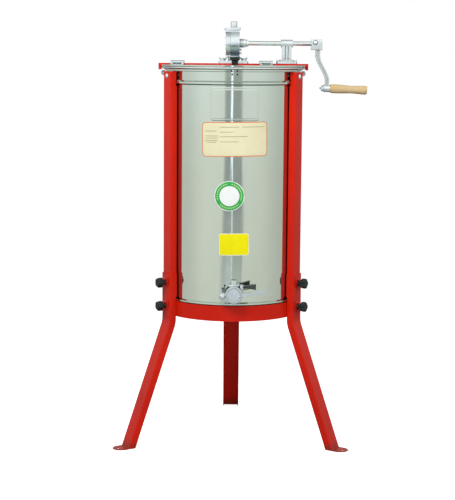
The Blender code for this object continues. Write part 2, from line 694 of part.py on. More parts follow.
def build_stand(root, red, zinc, black):
    upright = upright_mesh()
    leg = leg_mesh()
    knobs = leg_knob_mesh()
    reach = UPRIGHT_WEB_RADIUS - DRUM_RADIUS + DRUM_SHEET + BOLT_TAIL
    fastener = domed_bolt(
        "upright_bolt", BOLT_HEAD_RADIUS, BOLT_HEAD_HEIGHT, BOLT_SHANK_RADIUS, reach
    )
    angles = {"left": pi + FRONT_LEG_ANGLE, "right": -FRONT_LEG_ANGLE, "rear": pi / 2}
    for side, angle in angles.items():
        station = empty(f"station_{side}", root, rotation=(0, 0, angle))
        post = add(f"upright_{side}", upright, red, station)
        sleeve = add(f"leg_{side}", leg, red, station)
        join(sleeve, foot_tab_mesh())
        hole = cylinder("foot_hole", FOOT_HOLE_RADIUS, -CUT_OVERRUN, CUT_OVERRUN, SMALL_STEPS)
        place = Matrix.Translation((FOOT_REACH - FOOT_HOLE_INSET, 0, 0))
        cut(sleeve, transformed(hole, place))
        for piece in (post, sleeve):
            cut(piece, bead_room(LOWER_BEAD_Z, LOWER_BEAD_HEIGHT))
        cut(post, bead_room(UPPER_BEAD_Z, UPPER_BEAD_HEIGHT))
        for level, height in (("upper", LEG_KNOB_HIGH_Z), ("lower", LEG_KNOB_LOW_Z)):
            for piece in (post, sleeve):
                hole = cylinder(
                    "screw_hole", KNOB_SCREW_RADIUS + RUNNING_GAP, -UPRIGHT_DEPTH,
                    CUT_OVERRUN, TINY_STEPS,
                )
                cut(piece, across(hole, LEG_WEB_RADIUS, height))
            axis = empty(
                f"knob_axis_{side}_{level}", station, (LEG_WEB_RADIUS, 0, height), (0, pi / 2, 0)
            )
            add(f"leg_knob_{side}_{level}", knobs, black, axis)
        hole = cylinder(
            "bolt_hole", BOLT_SHANK_RADIUS + SEAT_GAP, -UPRIGHT_SHEET - CUT_OVERRUN,
            CUT_OVERRUN, TINY_STEPS,
        )
        cut(post, across(hole, UPRIGHT_WEB_RADIUS, UPRIGHT_BOLT_Z))
        seat = (UPRIGHT_WEB_RADIUS, 0, UPRIGHT_BOLT_Z)
        add(f"upright_bolt_{side}", fastener, zinc, station, seat, (0, pi / 2, 0))
    low, high = HOOP_TOP_Z - HOOP_HEIGHT, HOOP_TOP_Z
    inner = HOOP_OUTER_RADIUS - HOOP_SHEET
    section = [(inner, low), (HOOP_OUTER_RADIUS, low), (HOOP_OUTER_RADIUS, high), (inner, high)]
    add("hoop", revolved("hoop", section, DRUM_STEPS, ring=True), red, root)
    return angles


def bead(radius, height, tall):
    """A bead pressed outwards in the sheet, from below to above."""
    shape_shares = ((-0.5, 0), (-0.2, 1), (0.2, 1), (0.5, 0))
    return [(radius + BEAD_DEPTH * out, height + tall * up) for up, out in shape_shares]


def build_drum(root, steel, cast, angles):
    inner = DRUM_RADIUS - DRUM_SHEET
    lower, upper = (LOWER_BEAD_Z, LOWER_BEAD_HEIGHT), (UPPER_BEAD_Z, UPPER_BEAD_HEIGHT)
    roll = (inner + RIM_ROLL_RADIUS, RIM_TOP_Z - RIM_ROLL_RADIUS)
    band = DRUM_RADIUS + RIM_BAND_DEPTH
    start = acos((band - roll[0]) / RIM_ROLL_RADIUS)
    section = [(DRUM_RADIUS, DRUM_BOTTOM_Z)]
    section += bead(DRUM_RADIUS, *lower) + bead(DRUM_RADIUS, *upper)
    section += [(DRUM_RADIUS, RIM_BAND_LOW_Z), (band, RIM_BAND_LOW_Z + RIM_BAND_SLOPE)]
    section += arc(roll, RIM_ROLL_RADIUS, -start, pi, RIM_STEPS)
    section += bead(inner, *upper)[::-1] + bead(inner, *lower)[::-1]
    section.append((inner, DRUM_BOTTOM_Z))
    drum = add("drum", revolved("drum", section, DRUM_STEPS, ring=True), steel, root)
    hole = cylinder("gate_hole", GATE_TUBE_RADIUS + SEAT_GAP, GATE_INNER_Y, GATE_FRONT_Y)
    front = Matrix.Translation((GATE_X, 0, GATE_Z)) @ turned_to((0, -1, 0))
    cut(drum, transformed(hole, front))
    for angle in angles.values():
        hole = cylinder(
            "bolt_hole", BOLT_SHANK_RADIUS + SEAT_GAP, inner - CUT_OVERRUN,
            DRUM_RADIUS + CUT_OVERRUN, TINY_STEPS,
        )
        direction = (cos(angle), sin(angle), 0)
        place = Matrix.Translation((0, 0, UPRIGHT_BOLT_Z)) @ turned_to(direction)
        cut(drum, transformed(hole, place))
    edge = inner - FLOOR_EDGE_GAP
    low = FLOOR_EDGE_Z - FLOOR_FLANGE_DEPTH
    pan = [
        (0, FLOOR_CENTRE_Z - FLOOR_SHEET),
        (FLOOR_SEAT_RADIUS, FLOOR_CENTRE_Z - FLOOR_SHEET),
        (edge - FLOOR_SHEET, FLOOR_EDGE_Z - FLOOR_SHEET),
        (edge - FLOOR_SHEET, low),
        (edge, low),
        (edge, FLOOR_EDGE_Z),
        (FLOOR_SEAT_RADIUS, FLOOR_CENTRE_Z),
        (0, FLOOR_CENTRE_Z),
    ]
    add("drum_floor", revolved("drum_floor", pan, DRUM_STEPS), steel, root)
    flange_top = BEARING_FLANGE_HEIGHT
    bore = SHAFT_RADIUS + RUNNING_GAP
    cup = [
        (0, 0),
        (BEARING_FLANGE_RADIUS, 0),
        (BEARING_FLANGE_RADIUS, flange_top),
        (BEARING_CUP_RADIUS, flange_top),
        (BEARING_CUP_RADIUS, BEARING_CUP_HEIGHT),
        (bore, BEARING_CUP_HEIGHT),
        (bore, flange_top),
        (0, flange_top),
    ]
    seat = (0, 0, FLOOR_CENTRE_Z + SEAT_GAP)
    add("bottom_bearing", revolved("bottom_bearing", cup, ROUND_STEPS), cast, root, seat)


def build_gate(root, chrome, grey, zinc):
    """The gate's frame: X to the right, Y up and Z out of the drum's front."""
    frame = empty("gate_frame", root, (GATE_X, 0, GATE_Z), (pi / 2, 0, 0))
    back = DRUM_RADIUS - GATE_FLANGE_WRAP
    flange = DRUM_RADIUS + SEAT_GAP + GATE_FLANGE_THICKNESS
    face = GATE_FRONT_Y - GATE_FRONT_THICKNESS
    middle = (GATE_BORE_RADIUS + GATE_TUBE_RADIUS) / 2
    section = [
        (middle, back), (GATE_FLANGE_RADIUS, back), (GATE_FLANGE_RADIUS, flange), (middle, flange)
    ]
    body = add("gate_body", revolved("gate_body", section, ROUND_STEPS, ring=True), chrome, frame)
    wall = cylinder("drum_curve", DRUM_RADIUS + SEAT_GAP, 0, RIM_TOP_Z, DRUM_STEPS)
    to_frame = Matrix.Translation((GATE_X, 0, GATE_Z)) @ Matrix.Rotation(pi / 2, 4, "X")
    cut(body, transformed(wall, to_frame.inverted()))
    section = [
        (GATE_BORE_RADIUS, GATE_INNER_Y), (GATE_TUBE_RADIUS, GATE_INNER_Y),
        (GATE_TUBE_RADIUS, face), (GATE_FRONT_RADIUS, face),
        (GATE_FRONT_RADIUS, GATE_FRONT_Y), (GATE_BORE_RADIUS, GATE_FRONT_Y),
    ]
    join(body, revolved("gate_tube", section, ROUND_STEPS, ring=True))
    ear = ear_outline(GATE_PIVOT_DX, GATE_PIVOT_DZ, GATE_EAR_RADIUS, -GATE_TUBE_RADIUS)
    join(body, prism("gate_ear", ear, face, GATE_FRONT_Y))
    lug_low = (WING_SCREW_LUG_DX, 0, WING_SCREW_Y - WING_SCREW_LUG_HALF)
    lug_high = (
        WING_SCREW_LUG_DX + WING_SCREW_LUG_LENGTH,
        WING_SCREW_DZ + WING_SCREW_LUG_HALF,
        WING_SCREW_Y + WING_SCREW_LUG_HALF,
    )
    join(body, box("wing_lug", lug_low, lug_high))
    cap = cylinder("gate_cap", GATE_CAP_RADIUS, GATE_BORE_RADIUS + SEAT_GAP, GATE_CAP_TOP)
    join(body, transformed(cap, Matrix.Translation((0, 0, GATE_CAP_Y)) @ turned_to((0, 1, 0))))
    hole = cylinder(
        "pivot_hole", PIVOT_SHANK_RADIUS + SEAT_GAP, face - CUT_OVERRUN,
        GATE_FRONT_Y + CUT_OVERRUN, TINY_STEPS,
    )
    cut(body, transformed(hole, Matrix.Translation((GATE_PIVOT_DX, GATE_PIVOT_DZ, 0))))
    hole = cylinder(
        "wing_hole", WING_SCREW_RADIUS + SEAT_GAP, GATE_BORE_RADIUS / 2,
        WING_SCREW_LUG_DX + WING_SCREW_LUG_LENGTH + CUT_OVERRUN, TINY_STEPS,
    )
    place = Matrix.Translation((0, WING_SCREW_DZ, WING_SCREW_Y)) @ turned_to((1, 0, 0))
    cut(body, transformed(hole, place))

    axis = empty("gate_flap_axis", frame, (GATE_PIVOT_DX, GATE_PIVOT_DZ, GATE_FRONT_Y + SEAT_GAP))
    disc = circle(FLAP_RADIUS, ROUND_STEPS)
    centre = Matrix.Translation((-GATE_PIVOT_DX, -GATE_PIVOT_DZ, 0))
    plate = transformed(prism("gate_flap", disc, 0, FLAP_THICKNESS), centre)
    flap = add("gate_flap", plate, chrome, axis)
    raised = prism(
        "flap_boss", circle(FLAP_RAISED_RADIUS, ROUND_STEPS), FLAP_THICKNESS / 2,
        FLAP_THICKNESS + FLAP_RAISED_HEIGHT,
    )
    join(flap, transformed(raised, centre))
    ear = ear_outline(0, 0, GATE_EAR_RADIUS, -GATE_PIVOT_DX - FLAP_RADIUS / 2)
    join(flap, prism("flap_ear", ear, 0, FLAP_THICKNESS - SEAT_GAP))
    handle = prism("flap_lever", lever_outline(), FLAP_THICKNESS - LEVER_THICKNESS, FLAP_THICKNESS)
    slip = Matrix.Translation((0, 0, -SEAT_GAP))
    join(flap, transformed(handle, slip @ centre))
    hole = cylinder(
        "flap_hole", PIVOT_SHANK_RADIUS + RUNNING_GAP, -CUT_OVERRUN,
        FLAP_THICKNESS + CUT_OVERRUN, TINY_STEPS,
    )
    cut(flap, hole)
    pivot = domed_bolt(
        "gate_pivot_bolt", PIVOT_HEAD_RADIUS, PIVOT_HEAD_HEIGHT, PIVOT_SHANK_RADIUS,
        FLAP_THICKNESS + GATE_FRONT_THICKNESS + SEAT_GAP,
    )
    head = (GATE_PIVOT_DX, GATE_PIVOT_DZ, GATE_FRONT_Y + SEAT_GAP + FLAP_THICKNESS)
    add("gate_pivot_bolt", pivot, zinc, frame, head)

    lug_end = WING_SCREW_LUG_DX + WING_SCREW_LUG_LENGTH
    turn = (0, pi / 2, 0)
    axis = empty("gate_wing_axis", frame, (lug_end, WING_SCREW_DZ, WING_SCREW_Y), turn)
    root_end = WING_SCREW_NECK + WING_SCREW_ROOT_LENGTH
    rings = [
        round_ring(WING_SCREW_RADIUS, -WING_SCREW_LUG_LENGTH, TINY_STEPS),
        round_ring(WING_SCREW_RADIUS, WING_SCREW_NECK, TINY_STEPS),
        round_ring(WING_SCREW_ROOT_HALF, WING_SCREW_NECK, TINY_STEPS),
        round_ring(WING_SCREW_ROOT_HALF, root_end, TINY_STEPS),
    ]
    screw = add("gate_wing_screw", lofted("gate_wing_screw", rings), grey, axis)
    tip = WING_SCREW_WING_START + WING_SCREW_WING
    outline = [
        (WING_SCREW_WING_START, -WING_SCREW_ROOT_HALF), (tip, -WING_SCREW_END_HALF),
        (tip, WING_SCREW_END_HALF), (WING_SCREW_WING_START, WING_SCREW_ROOT_HALF),
    ]
    blade = prism("wing", outline, -WING_SCREW_THICKNESS / 2, WING_SCREW_THICKNESS / 2)
    join(screw, transformed(blade, Matrix.Rotation(-pi / 2, 4, "Y")))


def ear_outline(x, y, radius, inner_x):
    """A round-ended ear on the left, from a pivot at (x, y) to inner_x."""
    end = arc((x, y), radius, pi / 2, 3 * pi / 2, SMALL_STEPS // 2)
    return [(inner_x, y + radius)] + end + [(inner_x, y - radius)]


def lever_outline():
    """The flap's handle: wide at its root, narrow at its waist and flared at its end."""
    span = LEVER_END_DX - LEVER_ROOT_DX
    rise = LEVER_END_DZ - LEVER_ROOT_DZ
    shape = ((0, LEVER_ROOT_HALF), (LEVER_WAIST_SHARE, LEVER_WAIST_HALF), (1, LEVER_END_HALF))
    upper = [(LEVER_ROOT_DX + span * s, LEVER_ROOT_DZ + rise * s + half) for s, half in shape]
    lower = [(LEVER_ROOT_DX + span * s, LEVER_ROOT_DZ + rise * s - half) for s, half in shape]
    return lower + upper[::-1]


def build_crossbar(root, red, cast):
    """An inverted channel across the rim, with a channel turned down outside it at each end."""
    half, sheet = CROSSBAR_HALF_WIDTH, CROSSBAR_SHEET
    low, high = CROSSBAR_BOTTOM_Z, CROSSBAR_TOP_Z
    outline = [
        (-half, low), (sheet - half, low), (sheet - half, high - sheet),
        (half - sheet, high - sheet), (half - sheet, low), (half, low), (half, high), (-half, high),
    ]
    length = CROSSBAR_HALF_LENGTH
    inside = length - CROSSBAR_HOOK_CORNER
    crossbar = add("crossbar", side_on(prism("crossbar", outline, -inside, inside)), red, root)
    outline = channel_outline(
        length, length - CROSSBAR_HOOK_DEPTH, half, sheet, CROSSBAR_HOOK_CORNER
    )
    for angle in (0, pi):
        hook = prism("hook", outline, high - CROSSBAR_HOOK_DROP, high)
        join(crossbar, transformed(hook, Matrix.Rotation(angle, 4, "Z")))
    top = high - sheet - CUT_OVERRUN, high + CUT_OVERRUN
    cut(crossbar, cylinder("bush_hole", BUSH_RADIUS + SEAT_GAP, *top))
    for x in (-WING_NUT_X, WING_NUT_X):
        hole = cylinder("stud_hole", WING_STUD_RADIUS + RUNNING_GAP, *top, steps=TINY_STEPS)
        cut(crossbar, transformed(hole, Matrix.Translation((x, 0, 0))))
    for x in bracket_bolt_places():
        hole = cylinder("bolt_hole", SMALL_BOLT_SHANK_RADIUS + SEAT_GAP, *top, steps=TINY_STEPS)
        cut(crossbar, transformed(hole, Matrix.Translation((x, 0, 0))))
    collar_low = BUSH_COLLAR_LOW_Z
    bore = SHAFT_TOP_RADIUS + RUNNING_GAP
    top = FOOT_NECK_TOP_Z - SEAT_GAP
    section = [
        (bore, collar_low), (BUSH_COLLAR_RADIUS, collar_low),
        (BUSH_COLLAR_RADIUS, collar_low + BUSH_COLLAR_HEIGHT),
        (BUSH_RADIUS, collar_low + BUSH_COLLAR_HEIGHT), (BUSH_RADIUS, top), (bore, top),
    ]
    add("top_bush", revolved("top_bush", section, ROUND_STEPS, ring=True), cast, root)


def bracket_bolt_places():
    return (BRACKET_X - BRACKET_BOLT_OUT, BRACKET_X + BRACKET_BOLT_OUT)


def lid_mesh():
    """A round sheet with a turned-down lip, cut off in front of the hinge line at +Y."""
    low, high = LID_UNDER_Z - HINGE_AXIS_Z, LID_TOP_Z - HINGE_AXIS_Z
    lip = high - LID_LIP
    section = [
        (0, low), (LID_RADIUS - LID_SHEET, low), (LID_RADIUS - LID_SHEET, lip),
        (LID_RADIUS, lip), (LID_RADIUS, high), (0, high),
    ]
    return transformed(
        revolved("lid", section, DRUM_STEPS), Matrix.Translation((0, HINGE_AXIS_Y, 0))
    )


def hinge_plate_mesh():
    """Half of the plate over the crossbar, with its barrel round the pin at -Y."""
    high = HINGE_BARREL_RADIUS
    low = high - HINGE_PLATE_SHEET
    edge = HINGE_AXIS_Y - HINGE_BARREL_RADIUS - HINGE_PLATE_MARGIN
    wide, narrow = HINGE_PLATE_HALF_WIDTH, HINGE_TONGUE_HALF_WIDTH
    outline = [
        (-wide, 0), (-wide, -edge), (-narrow, -edge), (-narrow, -HINGE_AXIS_Y),
        (narrow, -HINGE_AXIS_Y), (narrow, -edge), (wide, -edge), (wide, 0),
    ]
    outline += [(x, -y) for x, y in outline[-2:0:-1]]
    return prism("hinge_plate", outline, low, high)


def build_lids(root, steel, chrome, black):
    pin_bore = HINGE_PIN_RADIUS + RUNNING_GAP
    plate_height = HINGE_AXIS_Z - CROSSBAR_TOP_Z
    hinge_places = [CROSSBAR_HALF_LENGTH * share for share in HINGE_X_SHARES]
    for name, x in zip(("left", "right"), hinge_places):
        plate = add(f"hinge_plate_{name}", hinge_plate_mesh(), chrome, root, (x, 0, HINGE_AXIS_Z))
        spacer = box(
            "spacer",
            (-HINGE_SPACER_HALF_WIDTH, -HINGE_SPACER_HALF_LENGTH, SEAT_GAP - plate_height),
            (HINGE_SPACER_HALF_WIDTH, HINGE_SPACER_HALF_LENGTH, HINGE_BARREL_RADIUS / 2),
        )
        join(plate, spacer)
        for y in (-HINGE_AXIS_Y, HINGE_AXIS_Y):
            half = HINGE_TONGUE_HALF_WIDTH
            barrel = cylinder("barrel", HINGE_BARREL_RADIUS, -half, half, SMALL_STEPS)
            bore = cylinder(
                "bore", pin_bore, -half - CUT_OVERRUN, half + CUT_OVERRUN, TINY_STEPS
            )
            place = Matrix.Translation((0, y, 0)) @ turned_to((1, 0, 0))
            join(plate, transformed(barrel, place))
            cut(plate, transformed(bore, place))

    sides = {"front": 0, "rear": pi}
    knobs = lid_knob_mesh()
    for side, angle in sides.items():
        half_turn = empty(f"lid_side_{side}", root, rotation=(0, 0, angle))
        axis = empty(f"lid_axis_{side}", half_turn, (0, -HINGE_AXIS_Y, HINGE_AXIS_Z))
        lid = add(f"lid_{side}", lid_mesh(), steel, axis)
        low = (-LID_RADIUS - CUT_OVERRUN, HINGE_PIN_OUT, -LID_RADIUS)
        high = (LID_RADIUS + CUT_OVERRUN, LID_RADIUS + HINGE_AXIS_Y + CUT_OVERRUN, LID_RADIUS)
        cut(lid, box("half", low, high))
        places = hinge_places if side == "front" else [-x for x in hinge_places]
        for name, x in zip(("left", "right"), places):
            build_leaf(f"hinge_leaf_{side}_{name}", chrome, axis, x)
        turn = 1 if side == "front" else -1
        seat = (turn * LID_KNOB_X, HINGE_AXIS_Y + LID_KNOB_INSET - LID_RADIUS, LID_TOP_Z - HINGE_AXIS_Z)
        add(f"lid_knob_{side}", knobs, black, axis, seat)


def build_leaf(name, chrome, axis, x):
    """A base on the lid with two ears up to the pin, and the pin through them, about its axis."""
    low = LID_TOP_Z - HINGE_AXIS_Z + SEAT_GAP
    high = low + HINGE_LEAF_SHEET
    inner = HINGE_TONGUE_HALF_WIDTH + HINGE_EAR_GAP
    outer = inner + HINGE_EAR_WIDTH
    base = box("hinge_leaf", (-outer, -HINGE_LEAF_LENGTH, low), (outer, 0, high))
    leaf = add(name, base, chrome, axis, (x, 0, 0))
    ear = arc((0, 0), HINGE_BARREL_RADIUS, 0, pi, SMALL_STEPS // 2)
    ear += [(-HINGE_BARREL_RADIUS, low + SEAT_GAP), (0, low + SEAT_GAP)]
    for side in (-1, 1):
        ends = sorted((side * inner, side * outer))
        join(leaf, side_on(prism("ear", ear, *ends)))
    middle = (inner + outer) / 2
    pin = cylinder("pin", HINGE_PIN_RADIUS, -middle, middle, TINY_STEPS)
    join(leaf, transformed(pin, turned_to((1, 0, 0))))


def housing_outline():
    """The gearbox's round outline in Y and Z about the crank axis, squared at its top and foot."""
    radius, top, pad = GEARBOX_RADIUS, GEARBOX_TOP_HALF_DEPTH, GEARBOX_PAD_HALF_DEPTH
    start, end = asin(pad / radius) - pi / 2, pi / 2 - asin(top / radius)
    right = arc((0, 0), radius, start, end, SMALL_STEPS // 2)
    left = [(-y, z) for y, z in right[::-1]]
    return right + [(top, radius), (-top, radius)] + left + [(-pad, -radius), (pad, -radius)]


def lying(name, radius, low, high, steps=ROUND_STEPS):
    """A cylinder along X."""
    return transformed(cylinder(name, radius, low, high, steps), turned_to((1, 0, 0)))


def build_gearbox(root, cast, chrome, zinc):
    stand = empty("gearbox_frame", root, (0, 0, CRANK_AXIS_Z))
    bore = CRANK_SHAFT_RADIUS + RUNNING_GAP
    cavity = GEARBOX_RADIUS - GEARBOX_WALL
    joint, right = GEARBOX_JOINT_X, GEARBOX_RIGHT_X
    shell = side_on(prism("gearbox_housing", housing_outline(), joint, right))
    housing = add("gearbox_housing", shell, chrome, stand)
    cut(housing, lying("cavity", cavity, joint - CUT_OVERRUN, right - GEARBOX_WALL, DRUM_STEPS))
    boss_start = right - GEARBOX_WALL / 2
    join(housing, lying("boss", GEARBOX_BOSS_RADIUS, boss_start, HOUSING_BOSS_END_X))
    cut(housing, lying("bore", bore, 0, HOUSING_BOSS_END_X + CUT_OVERRUN))
    hole = SHAFT_TOP_RADIUS + RUNNING_GAP
    cut(housing, cylinder("shaft_hole", hole, -GEARBOX_RADIUS - CUT_OVERRUN, -cavity / 2))

    left, end = GEARBOX_LEFT_X, GEARBOX_JOINT_X - SEAT_GAP
    shell = side_on(prism("gearbox_cover", housing_outline(), left, end))
    cover = add("gearbox_cover", shell, chrome, stand)
    cut(cover, lying("cavity", cavity, left + COVER_WALL, end + CUT_OVERRUN, DRUM_STEPS))
    cut(cover, lying("bore", bore, left - CUT_OVERRUN, 0))

    half_length = (CAP_RIGHT_X - GEARBOX_LEFT_X) / 2
    outline = rounded_box_outline(half_length, CAP_HALF_DEPTH, CAP_CORNER, CORNER_STEPS + 1)
    seat = HOUSING_TOP_Z + SEAT_GAP
    plate = prism("gearbox_cap", outline, 0, CAP_THICKNESS)
    cap = add("gearbox_cap", plate, cast, root, (GEARBOX_LEFT_X + half_length, 0, seat))
    crown = CAP_THICKNESS + CAP_DOME_HEIGHT
    dome = [
        (0, CAP_THICKNESS / 2), (CAP_DOME_RADIUS, CAP_THICKNESS / 2),
        (CAP_DOME_RADIUS, crown - CAP_DOME_EDGE), (CAP_DOME_RADIUS - CAP_DOME_EDGE, crown),
        (0, crown),
    ]
    place = Matrix.Translation((CAP_DOME_X - GEARBOX_LEFT_X - half_length, 0, 0))
    join(cap, transformed(revolved("dome", dome, ROUND_STEPS), place))

    low, high = CROSSBAR_TOP_Z + SEAT_GAP, FOOT_PLATE_TOP_Z
    outline = rounded_box_outline(
        FOOT_PLATE_HALF_LENGTH, FOOT_PLATE_HALF_WIDTH, FOOT_PLATE_CORNER, CORNER_STEPS + 1
    )
    foot = add("gearbox_foot", prism("gearbox_foot", outline, low, high), cast, root)
    join(foot, cylinder("neck", FOOT_NECK_RADIUS, (low + high) / 2, FOOT_NECK_TOP_Z))
    reach = (low - CUT_OVERRUN, FOOT_NECK_TOP_Z + CUT_OVERRUN)
    cut(foot, cylinder("bush_hole", BUSH_RADIUS + SEAT_GAP, *reach))
    wing = wing_mesh()
    for name, x in (("left", -WING_NUT_X), ("right", WING_NUT_X)):
        hole = cylinder("stud_hole", WING_STUD_RADIUS + RUNNING_GAP, *reach, steps=TINY_STEPS)
        cut(foot, transformed(hole, Matrix.Translation((x, 0, 0))))
        axis = empty(f"wing_bolt_axis_{name}", root, (x, 0, high))
        stud = domed_bolt(
            "wing_bolt", WING_NUT_RADIUS, WING_NUT_HEIGHT, WING_STUD_RADIUS,
            FOOT_PLATE_THICKNESS + SEAT_GAP + CROSSBAR_SHEET,
        )
        join(add(f"wing_bolt_{name}", stud, zinc, axis), wing)


def wing_mesh():
    """Both wings in one plate, each rising outwards from the bolt's base."""
    low = WING_NUT_HEIGHT / 2
    outline = [
        (-WING_NUT_RADIUS / 2, low), (WING_NUT_RADIUS / 2, low), (WING_SPAN_HALF, low * 2),
        (WING_SPAN_HALF, WING_RISE), (WING_NUT_RADIUS, WING_RISE), (0, WING_NUT_HEIGHT),
        (-WING_NUT_RADIUS, WING_RISE), (-WING_SPAN_HALF, WING_RISE), (-WING_SPAN_HALF, low * 2),
    ]
    return front_on(prism("wings", outline, -WING_THICKNESS / 2, WING_THICKNESS / 2))


def bevel_teeth(teeth, mate_teeth, shares):
    """One pitch circle of bevel teeth: (angle, radius, height) on the back cone from the apex.

    Each share in shares is a height on the flank, from the root at 0 to the tip at 1. The flanks
    are involutes of the spur gear that the back cone unrolls to.
    """
    radius = GEAR_MODULE * teeth / 2
    cone = atan2(teeth, mate_teeth)
    virtual = radius / cos(cone)
    base = virtual * cos(PRESSURE_ANGLE)
    depth = DEDENDUM_SHARE + ADDENDUM_SHARE

    def involute(angle):
        return tan(angle) - angle

    half_pitch = pi * GEAR_MODULE * TOOTH_THICKNESS_SHARE / (4 * virtual)
    flank = []
    for share in shares:
        height = GEAR_MODULE * (depth * share - DEDENDUM_SHARE)
        reach = virtual + height
        spread = involute(PRESSURE_ANGLE) - involute(acos(min(base / reach, 1)))
        angle = (half_pitch + spread) / cos(cone)
        flank.append((angle, radius + height * cos(cone), radius / tan(cone) - height * sin(cone)))
    points = []
    for i in range(teeth):
        centre = 2 * pi * i / teeth
        points += [(centre - angle, r, h) for angle, r, h in flank]
        points += [(centre + angle, r, h) for angle, r, h in flank[::-1]]
    return points


def polar_ring(points):
    return [(r * cos(angle), r * sin(angle), h) for angle, r, h in points]


def bevel_gear_mesh():
    """The large gear, its apex at zero and its back towards +Z. Cylinders end its teeth."""
    teeth = bevel_teeth(GEAR_TEETH, PINION_TEETH, (0, 1))
    large = GEAR_PITCH_RADIUS
    small = large * GEAR_SMALL_SHARE
    outer = [(angle, large, h * large / r) for angle, r, h in teeth]
    inner = [(angle, small, h * small / r) for angle, r, h in teeth]
    back = PINION_PITCH_RADIUS + GEAR_BACK
    web = max(h for angle, r, h in inner) + GEAR_WEB_DEPTH
    rings = [[(angle, large, back) for angle, r, h in teeth], outer, inner]
    rings.append([(angle, small, web) for angle, r, h in teeth])
    return lofted("bevel_gear", [polar_ring(ring) for ring in rings])


def pinion_mesh():
    """The small gear, its apex at zero and its back towards +Z. Planes end its teeth."""
    teeth = bevel_teeth(PINION_TEETH, GEAR_TEETH, (0, 0.5, 1))
    half_pitch = pi / PINION_TEETH
    rings = []
    for end in (GEAR_PITCH_RADIUS + PINION_BACK, GEAR_PITCH_RADIUS * GEAR_SMALL_SHARE):
        rings.append([(angle + half_pitch, r * end / h, end) for angle, r, h in teeth])
    return lofted("bevel_pinion", [polar_ring(ring) for ring in rings])


def arm_mesh():
    """The cranked arm as level sections, grooved front and back, sliding out to the grip."""
    top, bottom = -ARM_TOP_INSET, -CRANK_RADIUS
    rings = []
    for i in range(ARM_STATIONS):
        share = i / (ARM_STATIONS - 1)
        slide = smooth_step((share - ARM_CURVE_TOP_SHARE) / ARM_CURVE_LENGTH_SHARE)
        x = ARM_TOP_X + (ARM_BOTTOM_X - ARM_TOP_X) * slide
        scale = ARM_TOP_SCALE_SHARE + (ARM_BOTTOM_SCALE_SHARE - ARM_TOP_SCALE_SHARE) * share
        wide, deep = ARM_WIDTH / 2 * scale, ARM_DEPTH / 2 * scale
        groove, floor = wide / 2, deep - ARM_GROOVE
        half = [(wide, deep), (groove, deep), (groove, floor)]
        half += [(-groove, floor), (-groove, deep), (-wide, deep)]
        section = half + [(-x_out, -y) for x_out, y in half]
        height = top + (bottom - top) * share
        rings.append([(x + x_out, y, height) for x_out, y in section])
    return lofted("crank_arm", rings)


